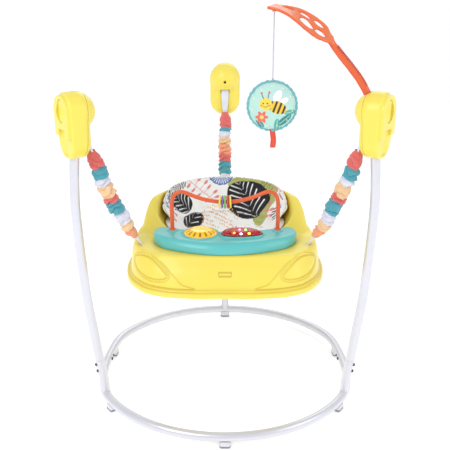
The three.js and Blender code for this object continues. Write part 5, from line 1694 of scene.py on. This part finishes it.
def strap(path, width, thick, name_uv=0):
    """A flat band along (r, z) points; width may be one number per point."""
    p = spline(path, 90) if len(path) > 2 else resample(path, 30)
    n = len(p)
    w = np.full(n, float(width)) if np.isscalar(width) else np.interp(np.linspace(0, 1, n), np.linspace(0, 1, len(width)), width)
    t = np.gradient(p, axis=0)
    t /= np.linalg.norm(t, axis=1)[:, None]
    nr = np.stack([-t[:, 1], t[:, 0]], 1)
    s = np.concatenate([[0], np.cumsum(np.linalg.norm(np.diff(p, axis=0), axis=1))])
    half = [(-0.5, -1), (-0.46, -1.25), (-0.2, -1.0), (0, -1.05), (0.2, -1.0), (0.46, -1.25), (0.5, -1), (0.5, 1), (0.46, 1.25), (0.2, 1.0), (0, 1.05), (-0.2, 1.0), (-0.46, 1.25), (-0.5, 1)]
    V, U = [], []
    if not np.isscalar(thick):
        thick = np.interp(np.linspace(0, 1, n), np.linspace(0, 1, len(thick)), thick)
    for a, b in half:
        off = b * thick * 0.42
        V.append(np.stack([p[:, 0] + nr[:, 0] * off, a * w, p[:, 1] + nr[:, 1] * off], 1))
        U.append(np.stack([a * w / 1000, s / 1000], 1))
    V = np.array(V)
    m = len(half)
    f = [grid_faces(m, n, True, False), (np.arange(m) * n)[None, ::-1], (np.arange(m) * n + n - 1)[None]]
    return V.reshape(-1, 3), f, np.array(U).reshape(-1, 2)


def joined(parts, names, side, place=radial):
    vs, fs, us, n = [], [], [], 0
    for v, f, u in parts:
        vs.append(v)
        fs += [np.asarray(g) + n for g in f]
        us.append(u)
        n += len(v)
    return place(side, np.concatenate(vs)), fs, np.concatenate(us)


COVER = [(375.5, 744), (372.5, 731), (367.5, 713), (361, 692), (351, 661), (341, 634), (327.5, 601), (314, 570), (300, 541), (287, 518), (277, 503), (271, 494)]
BANDS = {
    "side": [(0, CORAL), (0.167, TEALF), (0.276, LAV), (0.345, TAN), (0.471, CORAL), (0.534, TEALF), (0.672, LAV), (0.787, TAN), (0.874, PEACH)],
    "rear": [(0, CORAL), (0.177, TEALF), (0.225, LAV), (0.296, TAN), (0.38, PEACH), (0.50, CORAL), (0.585, TEALF), (0.747, LAV), (0.831, TAN), (0.88, PEACH)],
}


def sleeve(side):
    nl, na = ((460, 84))
    p = spline([(r, 0, z) for r, z in COVER], nl)
    L = float(np.linalg.norm(np.diff(p, axis=0), axis=1).sum())
    s = np.linspace(0, 1, nl)[:, None]
    ph = (np.arange(na) * 2 * math.pi / na)[None, :]
    rng = np.random.RandomState({"left": 11, "right": 23, "rear": 37}[side])
    k1, k2, k3 = rng.rand(3) * 6.28
    base = pchip([0, 0.03, 0.07, 0.2, 0.5, 0.8, 0.92, 0.97, 1], [9.5, 13, 17.4, 19.4, 20.0, 18.6, 14.6, 11.5, 8.6], s.ravel())[:, None]
    amp = pchip([0, 0.05, 0.14, 0.5, 0.85, 0.95, 1], [0.8, 2.6, 5.2, 6.2, 5.2, 2.4, 0.6], s.ravel())[:, None]
    # big soft puffs of cloth at uneven places; each crest slides round the spring
    n_r = L / 19.0
    u = s + 0.012 * np.sin(9.1 * s * math.pi + k3) + 0.007 * np.sin(17.3 * s * math.pi + k1)
    phase = math.pi * n_r * u + 1.25 * np.sin(ph + k1 + 6 * s) + 0.75 * np.sin(2 * ph + k2 + 9 * s) + 0.35 * np.sin(3 * ph - 13 * s)
    ridge = np.abs(np.sin(phase)) ** 0.8
    # sharp diagonal creases across the puffs
    dg1 = 1 - np.abs(np.sin(1.5 * ph + 0.5 * math.pi * n_r * u + k2)) ** 0.5
    dg2 = 1 - np.abs(np.sin(2.0 * ph - 0.8 * math.pi * n_r * u + k3)) ** 0.5
    fine_ = 0.5 * np.sin(phase * 2.3 + 4 * ph) * np.sin(6 * ph + 23 * s) + 0.25 * np.sin(11 * ph + 37 * s + k2)
    R = base + amp * (ridge - 0.5) - (2.6 * dg1 + 2.0 * dg2) * amp / 6 + fine_ * amp / 6
    R = R + 1.6 * np.sin(ph + 11 * s + k3) * amp / 6
    R = np.maximum(R, np.minimum(base * 0.62, 12.2))
    cuts = [a for a, _ in BANDS["rear" if side == "rear" else "side"]][1:]
    for c in cuts:
        R = R - 3.4 * np.exp(-(((s - c + 0.006 * np.sin(ph * 2 + k2)) * L / 2.6) ** 2))
    # crests hang a little below where they start
    slip = -4.2 * ridge * amp / 6
    t = np.gradient(p, axis=0)
    t /= np.linalg.norm(t, axis=1)[:, None]
    nr = np.stack([-t[:, 2], t[:, 1] * 0, t[:, 0]], 1)
    b = np.array([0, 1.0, 0])
    wob = np.stack([1.4 * np.sin(7 * s.ravel() * 3.1 + k1), 1.6 * np.sin(6 * s.ravel() * 2.7 + k2), 0 * s.ravel()], 1) * (np.sin(math.pi * s.ravel()) ** 0.5)[:, None]
    c = p + wob
    V = c[:, None] + R[..., None] * (nr[:, None] * np.cos(ph)[..., None] + b * np.sin(ph)[..., None]) + (t[:, None] * -slip[..., None])
    uv = np.stack([np.broadcast_to(ph * 0.022, R.shape), np.broadcast_to(s * L / 1000 * 1.6, R.shape)], -1)
    col = np.tile(np.array(lin(CORAL)), (nl * na, 1))
    sf_ = np.broadcast_to(s + 0.004 * np.sin(ph * 2 + k2), R.shape).ravel()
    tone = BANDS["rear" if side == "rear" else "side"]
    for a, cc in tone[1:]:
        col = over(col, cover((a - sf_) * L, 1.2), cc)
    # the cloth's own thickness: an inner wall close behind the outer one, joined to it at both hems
    W = c[:, None] + (R[..., None] - 0.8) * (nr[:, None] * np.cos(ph)[..., None] + b * np.sin(ph)[..., None]) + (t[:, None] * -slip[..., None])
    V = np.concatenate([V, W[::-1]])
    uv = np.concatenate([uv, uv[::-1]])
    c3 = col.reshape(nl, na, 3)
    col = np.concatenate([c3, c3[::-1]]).reshape(-1, 3)
    return V.reshape(-1, 3), [grid_faces(2 * nl, na, True, True)], uv.reshape(-1, 2), col, p


def side_shift(side, z):
    """The upper end of a spring follows its housing's turn."""
    return -54 * math.sin(TURN[side]) * np.clip((z - 500) / 210, 0, 1.15)


SLEEVE = fabric("sleeve_cloth", paint=True, rough=0.86, sheen=0.5, wrinkle=0.55, var=0.92)
KNIT = fabric("keeper_web", (227, 230, 243), uv=False)
for side in SIDES:
    # upper webbing: round the bar and down to the spring's hook
    tail = [(387.6, 818.0), (384.6, 812.0), (383.8, 804), (383.4, 785), (381.6, 766), (378.0, 750), (372, 730), (365, 708)]
    th = np.linspace(-100, 200, 24) * D
    loop = [(391.5 + 6.7 * math.cos(a), 824 + 6.7 * math.sin(a)) for a in th]
    v, f, u = joined([strap(tail, [24, 24, 23, 20, 16.5, 13, 12, 12], [2.2, 2.2, 2.6, 4.5, 5.5, 5.5, 4, 3]), strap(loop, 24, 1.8)], None, side, turned)
    o = mesh("web_upper_" + side, v, f, [WEB], uv=u)
    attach(o, "frame"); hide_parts("upper_strap_" + side)
    # coil spring
    sp = spline([(r, 0, z) for r, z in [(362, 701), (353, 672), (334, 620), (313, 570), (288, 522)]], 900)
    t, a, b = frames(sp)
    turns = 44
    q = np.linspace(0, turns * 2 * math.pi, len(sp))
    r_ = 9.6 * np.minimum(1, 0.25 + 3 * np.minimum(np.linspace(0, 30, len(sp)), np.linspace(30, 0, len(sp))))
    hel = sp + r_[:, None] * (a * np.cos(q)[:, None] + b * np.sin(q)[:, None])
    v, f = tube(hel, 1.2, 8)
    v[:, 1] += side_shift(side, v[:, 2])
    o = mesh("coil_" + side, radial(side, v), f, [WIRE])
    P0 = radial(side, np.array([[363, 0, 741.0]]))[0]
    st_, en_ = (0, SY / 1000, 0.741), (0, SY / 1000, 0.500)
    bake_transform(o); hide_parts("coil_spring_" + side)
    # gathered sleeve
    v, f, u, c, line = sleeve(side)
    v[:, 1] += side_shift(side, v[:, 2])
    o = mesh("sleeve_" + side, radial(side, v), f, [SLEEVE], uv=u, color=c)
    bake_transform(o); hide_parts("spring_cover_" + side)
    # lower webbing through the tray's slot, with the keeper under the shelf
    low = [(277, 505), (268, 489), (260.5, 478), (256.6, 470), (255.5, 462), (255.5, 452)]
    v1, f1, u1 = strap(low, [12, 16, 20, 22, 22, 22], [10, 8.5, 4.5, 2.6, 2.4, 2.4])
    v2, f2 = tube([(255.5, -16, 451.8), (255.5, 16, 451.8)], 3.0, 20, round_ends=1.5)
    v, f, u = joined([(v1, f1, u1), (v2, f2, np.zeros((len(v2), 2)))], None, side)
    o = mesh("web_lower_" + side, v, f, [WEB], uv=u)
    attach(o, "tray"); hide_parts("tray_strap_" + side)

# ----------------------------------------------------------------- hanging toy
NR, NP = 14, 48
BX, BZ, BR = BEE
rads = np.sin(np.linspace(0, math.pi / 2, NR)) * 57.5


def lens(r, sgn):
    return sgn * (1.0 + 13.2 * np.sqrt(np.maximum(1 - (r / 58) ** 2, 0)) * 0.85)


pp = np.linspace(0, 2 * math.pi, NP, endpoint=False)
rows = [(r, -1) for r in rads[1:]] + [(r, 1) for r in rads[:0:-1]]
G = np.array([[(BX + r * math.cos(a), ARM_Y + float(lens(r, sg)), BZ + r * math.sin(a)) for a in pp] for r, sg in rows])
ends = np.array([[BX, ARM_Y + float(lens(0, -1)), BZ], [BX, ARM_Y + float(lens(0, 1)), BZ]])
V0 = np.concatenate([G.reshape(-1, 3), ends])
nG = G.shape[0] * NP
tri0 = np.stack([np.full(NP, nG), np.roll(np.arange(NP), -1), np.arange(NP)], 1)
tri1 = np.stack([np.full(NP, nG + 1), (G.shape[0] - 1) * NP + np.arange(NP), (G.shape[0] - 1) * NP + np.roll(np.arange(NP), -1)], 1)
pin = np.zeros(len(V0))
mid = NR - 2
pin[mid * NP : (mid + 2) * NP] = 1
sim = drape("toy_cloth", V0, [grid_faces(G.shape[0], NP, False, True), tri0, tri1], pin, frames=24, pressure=1.6, shrink=0.03, stiff=10, bend=0.05)
dv = sim - V0
dv = np.clip(dv, -4, 4)
Gs = (V0 + dv)[:nG].reshape(G.shape)
Gs = np.concatenate([np.repeat((V0 + dv)[nG][None, None], NP, 1), Gs, np.repeat((V0 + dv)[nG + 1][None, None], NP, 1)])
FR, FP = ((150, 300))
fg = upsample(Gs, FR, FP, False, True)
V = fg.reshape(-1, 3)


def bee_paint(V):
    """A made-up round bee over a flower, leaves at the bottom."""
    x, z = V[:, 0] - BX, V[:, 2] - BZ
    col = np.tile(np.array(lin((186, 226, 216))), (len(V), 1))
    # leaves, lower right and lower left
    for (cx, cz, an, a, b, c) in [(30, -34, 0.7, 22, 8, (52, 142, 140)), (12, -46, 1.5, 16, 7, (80, 176, 160)), (44, -14, 0.2, 14, 6, (80, 176, 160)), (-30, -42, 2.3, 14, 6, (52, 142, 140))]:
        u = (x - cx) * math.cos(an) + (z - cz) * math.sin(an)
        w = -(x - cx) * math.sin(an) + (z - cz) * math.cos(an)
        d = (np.hypot(u / a, w / b) - 1) * b
        col = over(col, cover(d), c)
        col = over(col, cover(np.maximum(np.abs(w) - 0.6, d + 1.5)), (206, 236, 226))
    # coral flower
    fx, fz = x + 26, z + 26
    th = np.arctan2(fz, fx)
    col = over(col, cover(np.hypot(fx, fz) - (13 + 3.4 * np.cos(6 * th))), (236, 112, 96))
    col = over(col, cover(np.hypot(fx, fz) - 5), (250, 216, 110))
    # wings
    for (cx, cz, an, a, b) in [(12, 25, 1.1, 19, 11), (28, 14, 0.5, 15, 8.5)]:
        u = (x - cx) * math.cos(an) + (z - cz) * math.sin(an)
        w = -(x - cx) * math.sin(an) + (z - cz) * math.cos(an)
        d = (np.hypot(u / a, w / b) - 1) * b
        col = over(col, cover(d), (246, 250, 250))
        col = over(col, cover(np.abs(d + 0.8) - 0.5), (150, 196, 200))
    # striped body
    u = (x - 12) * math.cos(-0.35) + (z + 2) * math.sin(-0.35)
    w = -(x - 12) * math.sin(-0.35) + (z + 2) * math.cos(-0.35)
    d = (np.hypot(u / 24, w / 15) - 1) * 15
    col = over(col, cover(d), (250, 204, 60))
    st = np.abs((u / 11.5) % 1 - 0.5) * 11.5 - 2.7
    col = over(col, cover(np.maximum(d, st)), (66, 54, 62))
    # head, face and feelers
    hx, hz = x + 17, z - 6
    dh = np.hypot(hx, hz) - 15.5
    col = over(col, cover(dh), (253, 218, 84))
    for ex in (-6, 4.5):
        col = over(col, cover(np.hypot(hx - ex, hz - 2) - 1.9), (54, 44, 52))
    col = over(col, cover(np.maximum(np.abs(np.hypot(hx + 0.5, hz + 1.0) - 6) - 0.7, hz + 3.6)), (54, 44, 52))
    for ex in (-10.5, 9):
        col = over(col, cover(np.hypot(hx - ex, hz + 3.2) - 2.6), (244, 140, 110))
    for (ax_, az_, bx_, bz_) in [(-22, 20, -27, 33), (-11, 21, -8, 35)]:
        col = over(col, cover(line2(x, z, [(ax_, az_), ((ax_ + bx_) / 2 - 1, (az_ + bz_) / 2), (bx_, bz_)]) - 0.9), (66, 54, 62))
        col = over(col, cover(np.hypot(x - bx_, z - bz_) - 2.7), (236, 98, 84))
    # small dots round the edge
    for i in range(11):
        a = 0.5 + i * 0.56
        col = over(col, cover(np.hypot(x - 50 * math.cos(a), z - 50 * math.sin(a)) - 1.5), (250, 240, 190))
    return col


# the stitched seam pulls the edge into small puckers
rel = np.hypot(V[:, 0] - BX, V[:, 2] - BZ)
aa = np.arctan2(V[:, 2] - BZ, V[:, 0] - BX)
V[:, 1] += np.sign(V[:, 1] - ARM_Y) * 0.8 * np.sin(aa * 34 + 0.6 * np.sin(5 * aa)) * smooth(38, 56, rel) * smooth(58.5, 56, rel)
colr = bee_paint(V)
BEE_CLOTH = fabric("toy_print_cloth", paint=True, rough=0.9, sheen=0.6, wrinkle=0.3, pitch=0.0007, var=0.95)
ringf = [grid_faces(FR, FP, False, True)]
bee = mesh("round_toy", V, ringf, [BEE_CLOTH], uv=np.stack([(V[:, 0]) / 1000, V[:, 2] / 1000], 1), color=colr)
bm = bmesh.new(); bm.from_mesh(bee.data)
bmesh.ops.remove_doubles(bm, verts=bm.verts, dist=1e-6)
bmesh.ops.dissolve_degenerate(bm, edges=bm.edges, dist=1e-7)
bmesh.ops.recalc_face_normals(bm, faces=bm.faces)
bm.to_mesh(bee.data); bm.free()
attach(bee, "toy"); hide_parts("hanging_toy")
# overlocked, softly scalloped frill
nf = 480
a = np.linspace(0, 2 * math.pi, nf, endpoint=False)
wv = 2.6 * np.sin(a * 22) + 0.5 * np.sin(a * 61)
scal = 1.5 * np.abs(np.sin(a * 15)) - 0.9
rows = []
for k, (rr_, th_) in enumerate([(56.5, 1.4), (58.5, 1.1), (60.5, 1.0), (62.3, 1.2), (63.4, 0.9), (63.8, 0.0), (63.4, -0.9), (62.3, -1.2), (60.5, -1.0), (58.5, -1.1), (56.5, -1.4)]):
    g = smooth(56.5, 63.5, rr_)
    R_ = rr_ + scal * g + 0.3 * np.sin(a * 120) * (rr_ > 62)
    rows.append(np.stack([BX + R_ * np.cos(a), ARM_Y + wv * g + th_, BZ + R_ * np.sin(a)], 1))
rows = np.array(rows)
o = mesh("toy_frill", rows.reshape(-1, 3), [grid_faces(len(rows), nf, True, True)], [fabric("frill_cloth", (126, 194, 200), uv=False, sheen=0.4)])
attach(o, "toy")


def ribbon(path, width, thick=0.9):
    """(x, y offset, z) centre line, width along X in the picture."""
    p = spline(path, 60)
    n = len(p)
    t = np.gradient(p, axis=0); t /= np.linalg.norm(t, axis=1)[:, None]
    e = np.array([1.0, 0, 0]); e = e - t * (t @ e)[:, None]; e /= np.linalg.norm(e, axis=1)[:, None]
    m = np.cross(t, e)
    V = np.array([p + e * (u * width / 2) + m * (w * thick / 2) for u, w in [(-1, -1), (-1, 1), (0, 1.1), (1, 1), (1, -1), (0, -1.1)]])
    return V.reshape(-1, 3), [grid_faces(6, n, True, False), (np.arange(6) * n)[None, ::-1], (np.arange(6) * n + n - 1)[None]]


y0 = ARM_Y
r1 = ribbon([(BX + 2, y0, BZ - 60), (BX + 3, y0 - 3.5, BZ - 70), (BX + 5, y0 - 5.5, BZ - 86), (BX + 4, y0 - 3.0, BZ - 100), (BX + 3.5, y0, BZ - 105.5), (BX + 4, y0 + 3.0, BZ - 100), (BX + 5, y0 + 4.5, BZ - 84), (BX + 3, y0 + 2.5, BZ - 70), (BX + 2, y0, BZ - 61)], 13.5)
v, f = r1
o = mesh("toy_ribbon", v, f, [fabric("ribbon_satin", (232, 84, 62), uv=False, rough=0.45, sheen=0.3, pitch=0.0006)])
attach(o, "toy")
# stitched loop that the cord ties into
v, f = merge([tube([(BX, ARM_Y, BZ + 63.6), (BX, ARM_Y, BZ + 66.6)], 2.2, 16, round_ends=1.5)])
o = mesh("toy_knot", v, f, [CORD_MAT])
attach(o, "toy")

# ----------------------------------------------------------------- lamp lenses
LEDS = {"pink": (39.8, -122, (255, 130, 190)), "green": (56, -122, (130, 250, 120)), "orange": (25, -139, (255, 150, 40)), "blue": (43.5, -142, (190, 230, 255)), "yellow": (65, -139, (255, 226, 70))}
for nm, (x, y, c) in LEDS.items():
    dd = float(poly2(np.array([x]), np.array([y]), LEAF)[0])
    zz = 503.3 + 11.5 * math.sqrt(max(1 - min(max((dd + 24) / 24.5, 0), 1) ** 2.2, 0))
    lamp(nm, x, y, zz - 0.9, c, 4.0, 3.2)

# ----------------------------------------------------------------------- floor
v = [(-30000, -30000, -1.2), (30000, -30000, -1.2), (30000, 30000, -1.2), (-30000, 30000, -1.2)]
m, nt, b = new_mat("studio_floor")
nt.links.new(mixrgb(nt, maprange(nt, noise(nt, 3, 2), 0.3, 0.7, 0, 1), (0.93, 0.93, 0.94, 1), (0.91, 0.91, 0.92, 1)), b.inputs["Base Color"])
b.inputs["Roughness"].default_value = 0.9
b.inputs["Specular IOR Level"].default_value = 0.1
b.inputs["Emission Color"].default_value = (1, 1, 1, 1)
b.inputs["Emission Strength"].default_value = 0.34
floor = mesh("floor", v, np.array([[0, 1, 2, 3]]), [m], smooth=False, outward=False)

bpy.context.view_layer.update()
